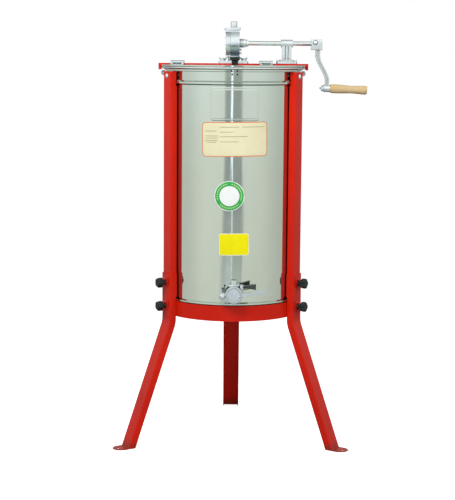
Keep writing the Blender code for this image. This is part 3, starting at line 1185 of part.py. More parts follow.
def build_crank(root, cast, zinc, wood, steel):
    crank = empty("crank_axis", root, (0, 0, CRANK_AXIS_Z))
    along = (0, pi / 2, 0)
    start = GEARBOX_LEFT_X - CRANK_SHAFT_LEFT_OUT
    end = HUB_LEFT_X + HUB_LENGTH - HUB_SHAFT_SHORT
    shaft = cylinder("crank_shaft", CRANK_SHAFT_RADIUS, start, end)
    add("crank_shaft", shaft, steel, crank, (0, 0, 0), along)
    bore = CRANK_SHAFT_RADIUS + SEAT_GAP
    gear = add("bevel_gear", bevel_gear_mesh(), cast, crank, (0, 0, 0), (0, -pi / 2, 0))
    cut(gear, cylinder("bore", bore, 0, GEAR_PITCH_RADIUS))
    collar_start = HOUSING_BOSS_END_X + RUNNING_GAP
    section = [
        (bore, collar_start), (COLLAR_RADIUS, collar_start),
        (COLLAR_RADIUS, collar_start + COLLAR_LENGTH), (bore, collar_start + COLLAR_LENGTH),
    ]
    collar = revolved("shaft_collar", section, ROUND_STEPS, ring=True)
    add("shaft_collar", collar, zinc, crank, (0, 0, 0), along)

    outline = rounded_box_outline(HUB_DEPTH / 2, HUB_HEIGHT / 2, HUB_EDGE, CORNER_STEPS)
    block = side_on(prism("crank_arm", outline, HUB_LEFT_X, HUB_LEFT_X + HUB_LENGTH))
    block = transformed(block, Matrix.Translation((0, 0, -HUB_DROP)))
    arm = add("crank_arm", block, cast, crank)
    join(arm, arm_mesh())
    droop = Matrix.Rotation(pi / 2 + GRIP_DROOP, 4, "Y")
    seat = Matrix.Translation((BOSS_CENTRE_X, 0, -CRANK_RADIUS)) @ droop
    half = BOSS_LENGTH / 2
    join(arm, transformed(cylinder("boss", BOSS_RADIUS, -half, half), seat))
    hole = cylinder(
        "spindle_hole", SPINDLE_RADIUS + SEAT_GAP, -half - CUT_OVERRUN, half + CUT_OVERRUN,
        SMALL_STEPS,
    )
    cut(arm, transformed(hole, seat))
    cut(arm, lying("bore", bore, HUB_LEFT_X - CUT_OVERRUN, end + HUB_SHAFT_SHORT + CUT_OVERRUN))

    turn = (0, pi / 2 + GRIP_DROOP, 0)
    grip_axis = empty("grip_axis", crank, (BOSS_CENTRE_X, 0, -CRANK_RADIUS), turn)
    nut = -half - SEAT_GAP
    head = GRIP_START + GRIP_LENGTH - GRIP_COUNTERBORE_DEPTH + RUNNING_GAP
    tip_radius = SPINDLE_RADIUS * HEAD_DOME_SHARE
    rings = [
        round_ring(tip_radius, nut - SPINDLE_NUT_LENGTH - SPINDLE_TIP, TINY_STEPS),
        round_ring(tip_radius, nut - SPINDLE_NUT_LENGTH, TINY_STEPS),
        hex_ring(SPINDLE_NUT_FLATS, nut - SPINDLE_NUT_LENGTH),
        hex_ring(SPINDLE_NUT_FLATS, nut),
        round_ring(SPINDLE_RADIUS, nut, TINY_STEPS),
        round_ring(SPINDLE_RADIUS, head, TINY_STEPS),
        round_ring(SPINDLE_HEAD_RADIUS, head, TINY_STEPS),
        round_ring(SPINDLE_HEAD_RADIUS, head + SPINDLE_HEAD_LENGTH, TINY_STEPS),
    ]
    add("grip_spindle", lofted("grip_spindle", rings), zinc, grip_axis)
    section = [
        (GRIP_RADIUS * radius_share, GRIP_START + GRIP_LENGTH * length_share)
        for length_share, radius_share in GRIP_SHAPE_SHARES
    ]
    end = GRIP_START + GRIP_LENGTH
    section += [
        (GRIP_COUNTERBORE_RADIUS, end), (GRIP_COUNTERBORE_RADIUS, end - GRIP_COUNTERBORE_DEPTH),
        (GRIP_BORE_RADIUS, end - GRIP_COUNTERBORE_DEPTH), (GRIP_BORE_RADIUS, GRIP_START),
    ]
    add("grip", revolved("grip", section, ROUND_STEPS, ring=True), wood, grip_axis)


def build_bracket(root, cast, zinc):
    """The far bearing of the crank shaft, in a frame on the crank's axis."""
    frame = empty("bracket_frame", root, (BRACKET_X, 0, CRANK_AXIS_Z))
    low = CROSSBAR_TOP_Z + SEAT_GAP - CRANK_AXIS_Z
    base_top = low + BRACKET_BASE_THICKNESS
    rise_top = base_top + BRACKET_BASE_RISE
    bore = CRANK_SHAFT_RADIUS + RUNNING_GAP
    half = BRACKET_BLOCK_LENGTH / 2
    block = lying("crank_bracket", BRACKET_BLOCK_RADIUS, -half, half)
    bracket = add("crank_bracket", block, cast, frame)
    half, rib = BRACKET_POST_LENGTH / 2, BRACKET_RIB_LENGTH / 2
    inner = half - BRACKET_COLUMN_WIDTH
    web, depth = BRACKET_WEB_HALF_DEPTH, BRACKET_POST_HALF_DEPTH
    outline = [
        (half, depth), (inner, depth), (inner, web), (rib, web), (rib, depth),
        (-rib, depth), (-rib, web), (-inner, web), (-inner, depth), (-half, depth),
    ]
    outline += [(-x, -y) for x, y in outline]
    join(bracket, prism("post", outline, (base_top + rise_top) / 2, -bore - SEAT_GAP))
    half = BRACKET_RISE_HALF_LENGTH
    depth = BRACKET_BASE_HALF_DEPTH - BRACKET_BASE_RISE
    middle = (low + base_top) / 2
    join(bracket, box("rise", (-half, -depth, middle), (half, depth, rise_top)))
    outline = rounded_box_outline(
        BRACKET_BASE_LENGTH / 2, BRACKET_BASE_HALF_DEPTH, BRACKET_BASE_CORNER, CORNER_STEPS + 1
    )
    join(bracket, prism("base", outline, low, base_top))
    reach = BRACKET_BLOCK_LENGTH
    cut(bracket, lying("bore", bore, -reach, reach))
    length = BRACKET_BASE_THICKNESS + SEAT_GAP + CROSSBAR_SHEET
    fastener = bolt(
        "bracket_bolt", SMALL_BOLT_FLATS, SMALL_BOLT_HEIGHT, SMALL_BOLT_SHANK_RADIUS, length
    )
    for name, x in (("left", -BRACKET_BOLT_OUT), ("right", BRACKET_BOLT_OUT)):
        hole = cylinder(
            "bolt_hole", SMALL_BOLT_SHANK_RADIUS + SEAT_GAP, low - CUT_OVERRUN,
            base_top + CUT_OVERRUN, TINY_STEPS,
        )
        cut(bracket, transformed(hole, Matrix.Translation((x, 0, 0))))
        add(f"bracket_bolt_{name}", fastener, zinc, frame, (x, 0, base_top))


def spider_outline():
    """A hub with three arms, each ending in a wide pad under or over one basket."""
    near = sqrt(SPIDER_HUB_RADIUS**2 - SPIDER_ARM_HALF_WIDTH**2)
    side = asin(SPIDER_ARM_HALF_WIDTH / SPIDER_HUB_RADIUS)
    half_arm, half_pad = SPIDER_ARM_HALF_WIDTH, POCKET_HALF_WIDTH
    reach = [
        (near, -half_arm), (POCKET_INNER, -half_arm), (POCKET_INNER, -half_pad),
        (POCKET_OUTER, -half_pad), (POCKET_OUTER, half_pad), (POCKET_INNER, half_pad),
        (POCKET_INNER, half_arm), (near, half_arm),
    ]
    points = []
    for angle in BASKET_ANGLES:
        points += [
            (u * cos(angle) - v * sin(angle), u * sin(angle) + v * cos(angle)) for u, v in reach
        ]
        start, end = angle + side, angle + 2 * pi / len(BASKET_ANGLES) - side
        points += arc((0, 0), SPIDER_HUB_RADIUS, start, end, HUB_ARC_STEPS)[1:-1]
    return points


def build_spider(name, finish, axis, height, border):
    sheet = SPIDER_SHEET
    spider = add(name, prism(name, spider_outline(), 0, sheet), finish, axis, (0, 0, height))
    for angle in BASKET_ANGLES:
        slot = box(
            "pocket",
            (POCKET_INNER + border, border - POCKET_HALF_WIDTH, -CUT_OVERRUN),
            (POCKET_OUTER - border, POCKET_HALF_WIDTH - border, sheet + CUT_OVERRUN),
        )
        cut(spider, transformed(slot, Matrix.Rotation(angle, 4, "Z")))
    join(spider, cylinder("sleeve", HUB_SLEEVE_RADIUS, sheet / 2, sheet + HUB_SLEEVE_HEIGHT))
    bore = SHAFT_RADIUS + SEAT_GAP
    ends = (-CUT_OVERRUN, sheet + HUB_SLEEVE_HEIGHT + CUT_OVERRUN)
    cut(spider, cylinder("bore", bore, *ends))


def lattice(name, half_width, height, sheet, border, columns, rows):
    """A standing sheet with rows and columns of openings, thin along X."""
    wide = (2 * half_width - 2 * border - (columns - 1) * SCREEN_BAR) / columns
    tall = (height - 2 * border - (rows - 1) * SCREEN_BAR) / rows
    across_stops, up_stops = [-half_width, border - half_width], [0, border]
    for stops, size, count, edge in (
        (across_stops, wide, columns, half_width), (up_stops, tall, rows, height)
    ):
        for i in range(count):
            stops.append(stops[-1] + size)
            stops.append(stops[-1] + SCREEN_BAR if i < count - 1 else edge)
    bm = bmesh.new()
    grid = [[bm.verts.new((0, y, z)) for z in up_stops] for y in across_stops]
    for i in range(len(across_stops) - 1):
        for j in range(len(up_stops) - 1):
            if i % 2 and j % 2:
                continue
            bm.faces.new((grid[i][j], grid[i + 1][j], grid[i + 1][j + 1], grid[i][j + 1]))
    raised = bmesh.ops.extrude_face_region(bm, geom=list(bm.faces))["geom"]
    moved = [item for item in raised if isinstance(item, bmesh.types.BMVert)]
    bmesh.ops.translate(bm, verts=moved, vec=(sheet, 0, 0))
    return finished(bm, name)


def build_cage(root, steel, cast):
    cage = empty("cage_axis", root)
    rings = [
        round_ring(SHAFT_RADIUS, SHAFT_FOOT_Z, ROUND_STEPS),
        round_ring(SHAFT_RADIUS, BUSH_COLLAR_LOW_Z - RUNNING_GAP, ROUND_STEPS),
        round_ring(SHAFT_TOP_RADIUS, BUSH_COLLAR_LOW_Z - RUNNING_GAP, ROUND_STEPS),
        round_ring(SHAFT_TOP_RADIUS, PINION_BACK_Z - SEAT_GAP, ROUND_STEPS),
        round_ring(SHAFT_PINION_RADIUS, PINION_BACK_Z - SEAT_GAP, ROUND_STEPS),
        round_ring(
            SHAFT_PINION_RADIUS,
            CRANK_AXIS_Z - GEAR_PITCH_RADIUS * GEAR_SMALL_SHARE + SHAFT_TIP_OUT, ROUND_STEPS,
        ),
    ]
    add("cage_shaft", lofted("cage_shaft", rings), steel, cage)
    pinion = add(
        "bevel_pinion", pinion_mesh(), cast, cage, (0, 0, CRANK_AXIS_Z), (pi, 0, 0)
    )
    cut(pinion, cylinder("bore", SHAFT_PINION_RADIUS + SEAT_GAP, 0, CRANK_AXIS_Z))
    build_spider("cage_bottom", steel, cage, SPIDER_BOTTOM_Z, SHELF_SLOT_BORDER)
    build_spider("cage_top", steel, cage, SPIDER_TOP_Z, POCKET_BORDER)
    low = SPIDER_BOTTOM_Z + SPIDER_SHEET + SEAT_GAP
    height = SPIDER_TOP_Z - SEAT_GAP - low
    screen = lattice(
        "basket_screen", SCREEN_HALF_WIDTH, height, SCREEN_SHEET, SCREEN_BORDER,
        SCREEN_COLUMNS, SCREEN_ROWS,
    )
    guard = lattice(
        "basket_guard", GUARD_HALF_WIDTH, height, SCREEN_SHEET, GUARD_BORDER,
        GUARD_COLUMNS, GUARD_ROWS,
    )
    for i, angle in enumerate(BASKET_ANGLES, 1):
        pocket = empty(f"basket_{i}", cage, (0, 0, low), (0, 0, angle))
        outer = POCKET_OUTER - SCREEN_INSET - SCREEN_SHEET
        add(f"basket_screen_{i}", screen, steel, pocket, (outer, 0, 0))
        add(f"basket_guard_{i}", guard, steel, pocket, (POCKET_INNER + SCREEN_INSET, 0, 0))


def build():
    clear_scene()
    red = material("red_paint", (0.42, 0.006, 0.010), 0.35, 0.0)
    steel = material("stainless_steel", (0.62, 0.63, 0.60), 0.28, 1.0)
    chrome = material("polished_metal", (0.66, 0.66, 0.66), 0.18, 1.0)
    cast = material("cast_metal", (0.55, 0.55, 0.55), 0.32, 1.0)
    zinc = material("zinc_plate", (0.52, 0.53, 0.54), 0.38, 1.0)
    grey = material("dark_metal", (0.16, 0.16, 0.17), 0.45, 1.0)
    black = material("black_plastic", (0.012, 0.012, 0.013), 0.40, 0.0)
    wood = material("pale_wood", (0.62, 0.42, 0.22), 0.50, 0.0)
    root = empty("honey_extractor", None, (AXIS_X, AXIS_Y, 0))
    angles = build_stand(root, red, zinc, black)
    build_drum(root, steel, cast, angles)
    build_gate(root, chrome, grey, zinc)
    build_crossbar(root, red, cast)
    build_lids(root, steel, chrome, black)
    build_gearbox(root, cast, chrome, zinc)
    build_crank(root, cast, zinc, wood, steel)
    build_bracket(root, cast, zinc)
    build_cage(root, steel, cast)


build()
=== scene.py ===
import math

import bmesh
import bpy
from mathutils import Matrix, Vector


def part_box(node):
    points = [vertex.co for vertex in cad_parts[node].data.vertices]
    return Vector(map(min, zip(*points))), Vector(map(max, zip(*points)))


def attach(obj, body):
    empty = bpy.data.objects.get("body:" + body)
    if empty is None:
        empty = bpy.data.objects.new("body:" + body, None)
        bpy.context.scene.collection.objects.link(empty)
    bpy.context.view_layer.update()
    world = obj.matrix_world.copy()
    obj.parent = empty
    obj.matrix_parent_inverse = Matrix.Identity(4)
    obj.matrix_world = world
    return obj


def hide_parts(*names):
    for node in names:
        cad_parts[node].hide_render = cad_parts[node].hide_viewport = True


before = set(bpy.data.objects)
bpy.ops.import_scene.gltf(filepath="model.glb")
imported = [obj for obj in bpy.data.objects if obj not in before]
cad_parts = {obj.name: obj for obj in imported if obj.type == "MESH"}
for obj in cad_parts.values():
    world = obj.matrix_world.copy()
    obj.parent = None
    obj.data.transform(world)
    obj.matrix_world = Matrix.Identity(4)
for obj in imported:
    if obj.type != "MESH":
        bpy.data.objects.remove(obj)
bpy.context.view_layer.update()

MM = 0.001
TAU = 2 * math.pi
UP = Vector((0.0, 0.0, 1.0))
RIGHT = Vector((1.0, 0.0, 0.0))
FRONT = Vector((0.0, -1.0, 0.0))
NO_LENGTH = 1e-6

# The drum's axis is the reference for every place below. X is to the right in the photograph and
# Y runs away from the camera, both from that axis, and Z is the height above the floor, all in
# millimetres.
shaft_low, shaft_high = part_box("cage_shaft")
AXIS = Vector(((shaft_low.x + shaft_high.x) / 2, (shaft_low.y + shaft_high.y) / 2, 0.0))
DRUM_RADIUS = 200.0


def place(x, y, z):
    """A point given in millimetres from the drum's axis, in the model's frame."""
    return AXIS + Vector((x * MM, y * MM, z * MM))


def axes_at(origin, x, y, z):
    return Matrix.Translation(origin) @ Matrix((x, y, z)).transposed().to_4x4()


def new_object(name, data):
    made = bpy.data.objects.new(name, data)
    bpy.context.scene.collection.objects.link(made)
    return made


# Camera

EYE = (0.0, -4330.06, 1168.21)
YAW = -0.0031
PITCH = 0.1373
ROLL = 0.0077
FOCAL_PIXELS = 1439.0
FRAME_WIDTH = 455.0
SENSOR = 36.0
FARTHEST = 60.0


def make_camera():
    forward = Vector((math.sin(YAW) * math.cos(PITCH), math.cos(YAW) * math.cos(PITCH), -math.sin(PITCH)))
    right = Vector((math.cos(YAW), -math.sin(YAW), 0.0))
    up = right.cross(forward)
    rolled_right = right * math.cos(ROLL) + up * math.sin(ROLL)
    rolled_up = up * math.cos(ROLL) - right * math.sin(ROLL)
    data = bpy.data.cameras.new("camera")
    data.sensor_fit = "HORIZONTAL"
    data.sensor_width = SENSOR
    data.lens = SENSOR * FOCAL_PIXELS / FRAME_WIDTH
    data.clip_end = FARTHEST
    camera = new_object("camera", data)
    camera.matrix_world = axes_at(place(*EYE), rolled_right, rolled_up, -forward)
    bpy.context.scene.camera = camera


# Node helpers


def feed(tree, target, value):
    """Links a socket to an input, or sets the input to a fixed value."""
    if isinstance(value, bpy.types.NodeSocket):
        tree.links.new(value, target)
    else:
        target.default_value = value


def node(tree, kind, inputs=None, **settings):
    made = tree.nodes.new(kind)
    for key, value in settings.items():
        setattr(made, key, value)
    for key, value in (inputs or {}).items():
        feed(tree, made.inputs[key], value)
    return made


def math_node(tree, operation, first, second=0.0):
    return node(tree, "ShaderNodeMath", {0: first, 1: second}, operation=operation).outputs[0]


def times(tree, first, *others):
    for other in others:
        first = math_node(tree, "MULTIPLY", first, other)
    return first


def plus(tree, first, second):
    return math_node(tree, "ADD", first, second)


def minus(tree, first, second):
    return math_node(tree, "SUBTRACT", first, second)


def distance(tree, first, second):
    return math_node(tree, "ABSOLUTE", minus(tree, first, second))


def vector_node(tree, operation, first, second, output=0):
    return node(tree, "ShaderNodeVectorMath", {0: first, 1: second}, operation=operation).outputs[output]


def separate(tree, vector):
    """The X, Y and Z of a vector."""
    return node(tree, "ShaderNodeSeparateXYZ", {0: vector}).outputs


def spread(tree, value, low_in, high_in, low_out, high_out, smooth=False):
    """Maps low_in..high_in to low_out..high_out and holds it there."""
    inputs = {0: value, 1: low_in, 2: high_in, 3: low_out, 4: high_out}
    kind = "SMOOTHSTEP" if smooth else "LINEAR"
    return node(tree, "ShaderNodeMapRange", inputs, interpolation_type=kind).outputs[0]


def colour_mix(tree, share, first, second):
    inputs = {0: share}
    for index, colour in ((6, first), (7, second)):
        inputs[index] = (*colour, 1.0) if isinstance(colour, tuple) else colour
    return node(tree, "ShaderNodeMix", inputs, data_type="RGBA", blend_type="MIX").outputs[2]


def mottled(tree, cloud, light, deep):
    """A body colour that drifts between two near shades."""
    return colour_mix(tree, spread(tree, cloud, 0.3, 0.7, 0.0, 1.0), light, deep)


def object_place(tree):
    return node(tree, "ShaderNodeTexCoord").outputs["Object"]


def height_of(tree):
    return separate(tree, object_place(tree))[2]


def noise(tree, scale, detail=2.0, roughness=0.5, stretch=(1.0, 1.0, 1.0), distortion=0.0, where=None):
    """Noise with so many waves per metre, in the model's frame."""
    mapped = vector_node(tree, "MULTIPLY", where or object_place(tree), stretch)
    inputs = dict(Vector=mapped, Scale=scale, Detail=detail, Roughness=roughness, Distortion=distortion)
    return node(tree, "ShaderNodeTexNoise", inputs).outputs[0]


def bump(tree, height, depth, strength=1.0, normal=None):
    inputs = {"Height": height, "Distance": depth, "Strength": strength}
    if normal is not None:
        inputs["Normal"] = normal
    return node(tree, "ShaderNodeBump", inputs).outputs[0]


def edge_wear(tree, radius, low, high):
    """1 on the sharp outer edges and 0 on flat faces."""
    rounded = node(tree, "ShaderNodeBevel", {"Radius": radius}, samples=4).outputs[0]
    plain = node(tree, "ShaderNodeNewGeometry").outputs["Normal"]
    likeness = vector_node(tree, "DOT_PRODUCT", rounded, plain, "Value")
    return spread(tree, minus(tree, 1.0, likeness), low, high, 0.0, 1.0)


def shade_in_hollows(tree, reach):
    """A mask for painted shade: 1 in the piece's own corners and hollows and 0 on its open faces."""
    shade = node(tree, "ShaderNodeAmbientOcclusion", {"Distance": reach}, samples=6, only_local=True)
    return spread(tree, shade.outputs["AO"], 0.30, 0.92, 1.0, 0.0)


def wire(finish, **sockets):
    """Feeds the named sockets of a material's Principled shader."""
    tree = finish.node_tree
    surface = tree.nodes["Principled BSDF"]
    for key, value in sockets.items():
        feed(tree, surface.inputs[key.replace("_", " ")], value)
    return finish


def shader(name, **sockets):
    """A new material with the given fixed sockets, and its tree."""
    made = bpy.data.materials.new(name)
    made.use_nodes = True
    return wire(made, **sockets), made.node_tree


# Materials

PAINT_DUST = (0.42, 0.06, 0.02)
# A darker dull red that the paint goes to near the floor.
FOOT_DARK = (0.30, 0.022, 0.010)
FOOT_DARK_FROM = 4.0 * MM
FOOT_DARK_TO = 30.0 * MM
# Colour of the painted shade in the hollows of cast metal.
HOLLOW_SHADE = (0.25, 0.245, 0.18)
# Colour of the painted dark reflection on metal flanks seen at a grazing angle.
FLANK_SHADE = (0.16, 0.21, 0.23)
# How far the painted shade in hollows reaches.
HOLLOW_SHADE_REACH = 9.0 * MM
PLASTIC_DUST = (0.16, 0.17, 0.17)


def make_paint(name, light, deep, scuff):
    """Enamel with chipped edges, darker towards the floor on the feet."""
    made, tree = shader(name, Metallic=0.0, IOR=1.5, Specular_IOR_Level=0.22)
    broad = noise(tree, 5.0, 3.0, 0.6)
    fine = noise(tree, 70.0, 4.0, 0.6)
    body = colour_mix(tree, spread(tree, broad, 0.35, 0.65, 0.0, 1.0), light, deep)
    dusted = colour_mix(tree, spread(tree, fine, 0.52, 0.75, 0.0, 0.10), body, PAINT_DUST)
    # The colour darkens towards a dull red near the floor.
    near_floor = spread(tree, height_of(tree), FOOT_DARK_FROM, FOOT_DARK_TO, 0.95, 0.0, True)
    darker_low = times(tree, near_floor, spread(tree, fine, 0.25, 0.6, 0.75, 1.0))
    patches = spread(tree, noise(tree, 160.0, 4.0, 0.7), 0.50, 0.64, 0.0, 0.75)
    chips = times(tree, edge_wear(tree, 1.2 * MM, 0.04, 0.22), patches)
    sag = bump(tree, noise(tree, 22.0, 2.0, 0.5), 0.5 * MM, 0.25)
    return wire(
        made,
        Base_Color=colour_mix(tree, chips, colour_mix(tree, darker_low, dusted, FOOT_DARK), scuff),
        Roughness=spread(tree, fine, 0.3, 0.7, 0.28, 0.44),
        Normal=bump(tree, noise(tree, 620.0, 2.0, 0.5), 0.05 * MM, 0.35, sag),
    )


def circumference(tree):
    """The direction round the drum at a point, for a brushed finish."""
    normal = node(tree, "ShaderNodeNewGeometry").outputs["Normal"]
    return vector_node(tree, "CROSS_PRODUCT", tuple(UP), normal)


def make_sheet_steel(name, light, deep, rough, waves):
    """Rolled sheet with faint lines round the drum and soft waves in its wall."""
    made, tree = shader(name, Metallic=1.0, Anisotropic=0.55, Anisotropic_Rotation=0.25)
    cloud = noise(tree, 6.0, 4.0, 0.6, (1.0, 1.0, 0.5))
    lines = noise(tree, 1.0, 3.0, 0.6, (14.0, 14.0, 1500.0))
    smear = noise(tree, 28.0, 4.0, 0.62)
    body = mottled(tree, cloud, light, deep)
    soft = bump(tree, noise(tree, 9.0, 2.0, 0.45, (1.0, 1.0, 0.45)), waves, 1.0)
    return wire(
        made,
        Base_Color=colour_mix(tree, spread(tree, lines, 0.25, 0.75, 0.0, 0.16), body, deep),
        Roughness=spread(tree, smear, 0.3, 0.72, *rough),
        Tangent=circumference(tree),
        Normal=bump(tree, lines, 0.004 * MM, 0.5, soft),
    )


def make_cast(name, light, deep, rough, pits, metallic=1.0, rim=0.55, waves=0.35):
    """Cast or plated metal with fine pits, painted shade in its hollows and painted dark reflections on its
    flanks.
    """
    made, tree = shader(name, Metallic=metallic)
    cloud = noise(tree, 45.0, 4.0, 0.6)
    grain = noise(tree, 900.0, 3.0, 0.6)
    scratches = noise(tree, 1.0, 2.0, 0.5, (60.0, 1100.0, 60.0))
    wear = times(tree, edge_wear(tree, 0.9 * MM, 0.03, 0.2), 0.6)
    worn = colour_mix(tree, wear, mottled(tree, cloud, light, deep), light)
    # Painted shade: the colour darkens towards a grey-brown in the piece's own corners and hollows.
    hollow_shaded = colour_mix(tree, times(tree, shade_in_hollows(tree, HOLLOW_SHADE_REACH), 0.85), worn, HOLLOW_SHADE)
    # Painted dark reflection: faces seen at a grazing angle darken towards a blue-grey, by as much as rim
    # gives.
    facing = node(tree, "ShaderNodeLayerWeight", {"Blend": 0.5}).outputs["Facing"]
    ripples = bump(tree, noise(tree, 30.0, 2.0, 0.5), 0.35 * MM, waves)
    return wire(
        made,
        Base_Color=colour_mix(tree, spread(tree, facing, 0.34, 0.92, 0.0, rim), hollow_shaded, FLANK_SHADE),
        Roughness=spread(tree, plus(tree, cloud, times(tree, scratches, 0.5)), 0.5, 1.1, *rough),
        Normal=bump(tree, grain, pits, 0.5, ripples),
    )


def shade_below(finish, low, high, shade_colour):
    """Darkens a finish below a height in millimetres with a painted shade, as on the gearbox's lower part."""
    tree = finish.node_tree
    unshaded = tree.nodes["Principled BSDF"].inputs["Base Color"].links[0].from_socket
    share = spread(tree, height_of(tree), low * MM, high * MM, 1.0, 0.0, True)
    return wire(finish, Base_Color=colour_mix(tree, share, unshaded, shade_colour))


def make_plastic(name, light, deep, roughness):
    """Moulded plastic with a fine grain and dust on its edges."""
    made, tree = shader(name, Metallic=0.0, IOR=1.5, Specular_IOR_Level=0.3)
    cloud = noise(tree, 60.0, 3.0, 0.6)
    dust = times(tree, edge_wear(tree, 1.0 * MM, 0.05, 0.3), 0.35)
    return wire(
        made,
        Base_Color=colour_mix(tree, dust, mottled(tree, cloud, light, deep), PLASTIC_DUST),
        Roughness=spread(tree, cloud, 0.3, 0.7, roughness, roughness + 0.16),
        Normal=bump(tree, noise(tree, 1400.0, 2.0, 0.6), 0.03 * MM, 0.5),
    )


GRIP_LOW, GRIP_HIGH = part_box("grip")
GRIP_MIDDLE = (GRIP_LOW + GRIP_HIGH) / 2
GRIP_DROOP = math.radians(2.3)
HEARTWOOD_OFF = (0.031, 0.017)
RINGS = 2300.0


def make_wood(name):
    """Pale wood with its grain along the grip."""
    made, tree = shader(name, Metallic=0.0, IOR=1.45)
    centred = {"Vector": object_place(tree), "Location": tuple(-GRIP_MIDDLE)}
    shifted = node(tree, "ShaderNodeMapping", centred, vector_type="POINT").outputs[0]
    turned = {"Vector": shifted, "Rotation": (0.0, -GRIP_DROOP, 0.0)}
    along = node(tree, "ShaderNodeMapping", turned).outputs[0]
    # The rings of the tree are centred well off the grip, so that their lines run along it.
    _, y, z = separate(tree, along)
    off_y = plus(tree, y, HEARTWOOD_OFF[0])
    off_z = plus(tree, z, HEARTWOOD_OFF[1])
    radius = math_node(tree, "SQRT", plus(tree, times(tree, off_y, off_y), times(tree, off_z, off_z)))
    wobble = noise(tree, 1.0, 3.0, 0.55, (9.0, 60.0, 60.0), 0.0, along)
    rings = math_node(tree, "SINE", plus(tree, times(tree, radius, RINGS), times(tree, wobble, 9.0)))
    ring_share = spread(tree, rings, -1.0, 1.0, 0.0, 1.0, True)
    fibre = noise(tree, 1.0, 4.0, 0.65, (40.0, 1400.0, 1400.0), 0.0, along)
    cloud = noise(tree, 30.0, 3.0, 0.5, (0.5, 1.0, 1.0), 0.0, along)
    pale = colour_mix(tree, ring_share, (0.565, 0.435, 0.222), (0.49, 0.345, 0.156))
    fibred = colour_mix(tree, spread(tree, fibre, 0.42, 0.7, 0.0, 0.5), pale, (0.42, 0.27, 0.115))
    knots = spread(tree, noise(tree, 26.0, 1.0, 0.4, (1.0, 1.0, 1.0), 1.5, along), 0.70, 0.78, 0.0, 0.5)
    spotted = colour_mix(tree, knots, fibred, (0.30, 0.16, 0.06))
    return wire(
        made,
        Base_Color=colour_mix(tree, spread(tree, cloud, 0.3, 0.7, 0.0, 0.35), spotted, (0.62, 0.50, 0.292)),
        Roughness=spread(tree, fibre, 0.3, 0.7, 0.36, 0.55),
        Normal=bump(tree, fibre, 0.06 * MM, 0.4, bump(tree, ring_share, 0.05 * MM, 0.3)),
    )


def make_vinyl(name, light, deep, smoothest=0.29, printed=None):
    """A printed sticker: nearly even, with faint creases and a soft gloss. What is printed over its
    colour comes from a function of the tree and that colour."""
    made, tree = shader(name, Metallic=0.0, IOR=1.46, Specular_IOR_Level=0.09)
    cloud = noise(tree, 24.0, 3.0, 0.6)
    fibre = noise(tree, 900.0, 3.0, 0.6)
    ink = mottled(tree, cloud, light, deep)
    return wire(
        made,
        Base_Color=printed(tree, ink) if printed else ink,
        Roughness=spread(tree, cloud, 0.3, 0.7, smoothest, 0.45),
        Normal=bump(tree, fibre, 0.02 * MM, 0.3, bump(tree, cloud, 0.3 * MM, 0.3)),
    )


FINISH = {
    "red_paint": make_paint("red_enamel", (0.63, 0.0125, 0.0016), (0.56, 0.01, 0.0014), (0.16, 0.03, 0.025)),
    "stainless_steel": make_sheet_steel(
        "rolled_stainless", (0.595, 0.665, 0.605), (0.545, 0.61, 0.535), (0.07, 0.13), 0.40 * MM
    ),
    "polished_metal": make_cast(
        "polished_casting", (0.74, 0.79, 0.80), (0.62, 0.68, 0.70), (0.09, 0.20), 0.01 * MM, rim=0.75
    ),
    "cast_metal": make_cast(
        "cast_alloy", (0.80, 0.84, 0.85), (0.68, 0.73, 0.75), (0.18, 0.30), 0.02 * MM, 0.8, 0.7
    ),
    "zinc_plate": make_cast(
        "zinc_plating", (0.84, 0.91, 0.92), (0.72, 0.80, 0.82), (0.16, 0.30), 0.02 * MM, 0.6, 0.85
    ),
    "dark_metal": make_cast("dark_iron", (0.13, 0.135, 0.135), (0.07, 0.075, 0.08), (0.35, 0.55), 0.05 * MM),
    "black_plastic": make_plastic(
        "black_plastic_moulding", (0.013, 0.021, 0.020), (0.008, 0.013, 0.013), 0.36
    ),
    "pale_wood": make_wood("turned_wood"),
}
POLISHED_RIM = make_cast(
    "polished_rim", (0.78, 0.83, 0.80), (0.70, 0.76, 0.72), (0.08, 0.16), 0.005 * MM, rim=0.5
)

# Heights in millimetres between which the gearbox's lower part darkens with painted shade.
LOW_SHADE_FROM = 1164.0
LOW_SHADE_TO = 1199.0
FINISH_BY_NODE = {
    "crank_shaft": make_cast(
        "drawn_shaft", (0.86, 0.90, 0.89), (0.78, 0.83, 0.81), (0.08, 0.16), 0.005 * MM, rim=0.7, waves=0.08
    ),
    "crank_arm": make_cast(
        "chromed_arm", (0.80, 0.86, 0.87), (0.68, 0.74, 0.75), (0.07, 0.15), 0.005 * MM, 0.6, 0.95, 0.08
    ),
    "gearbox_housing": shade_below(
        make_cast("casting_with_low_shade", (0.73, 0.77, 0.78), (0.62, 0.67, 0.69), (0.14, 0.26), 0.02 * MM, 0.8, 0.7),
        LOW_SHADE_FROM,
        LOW_SHADE_TO,
        (0.27, 0.35, 0.41),
    ),
}


# The CAD nodes

ROUND_ANGLE = math.radians(32)
CREASE_ANGLE = math.radians(26)
FLAT_ANGLE = math.radians(0.6)
WELD_REACH = 0.004 * MM


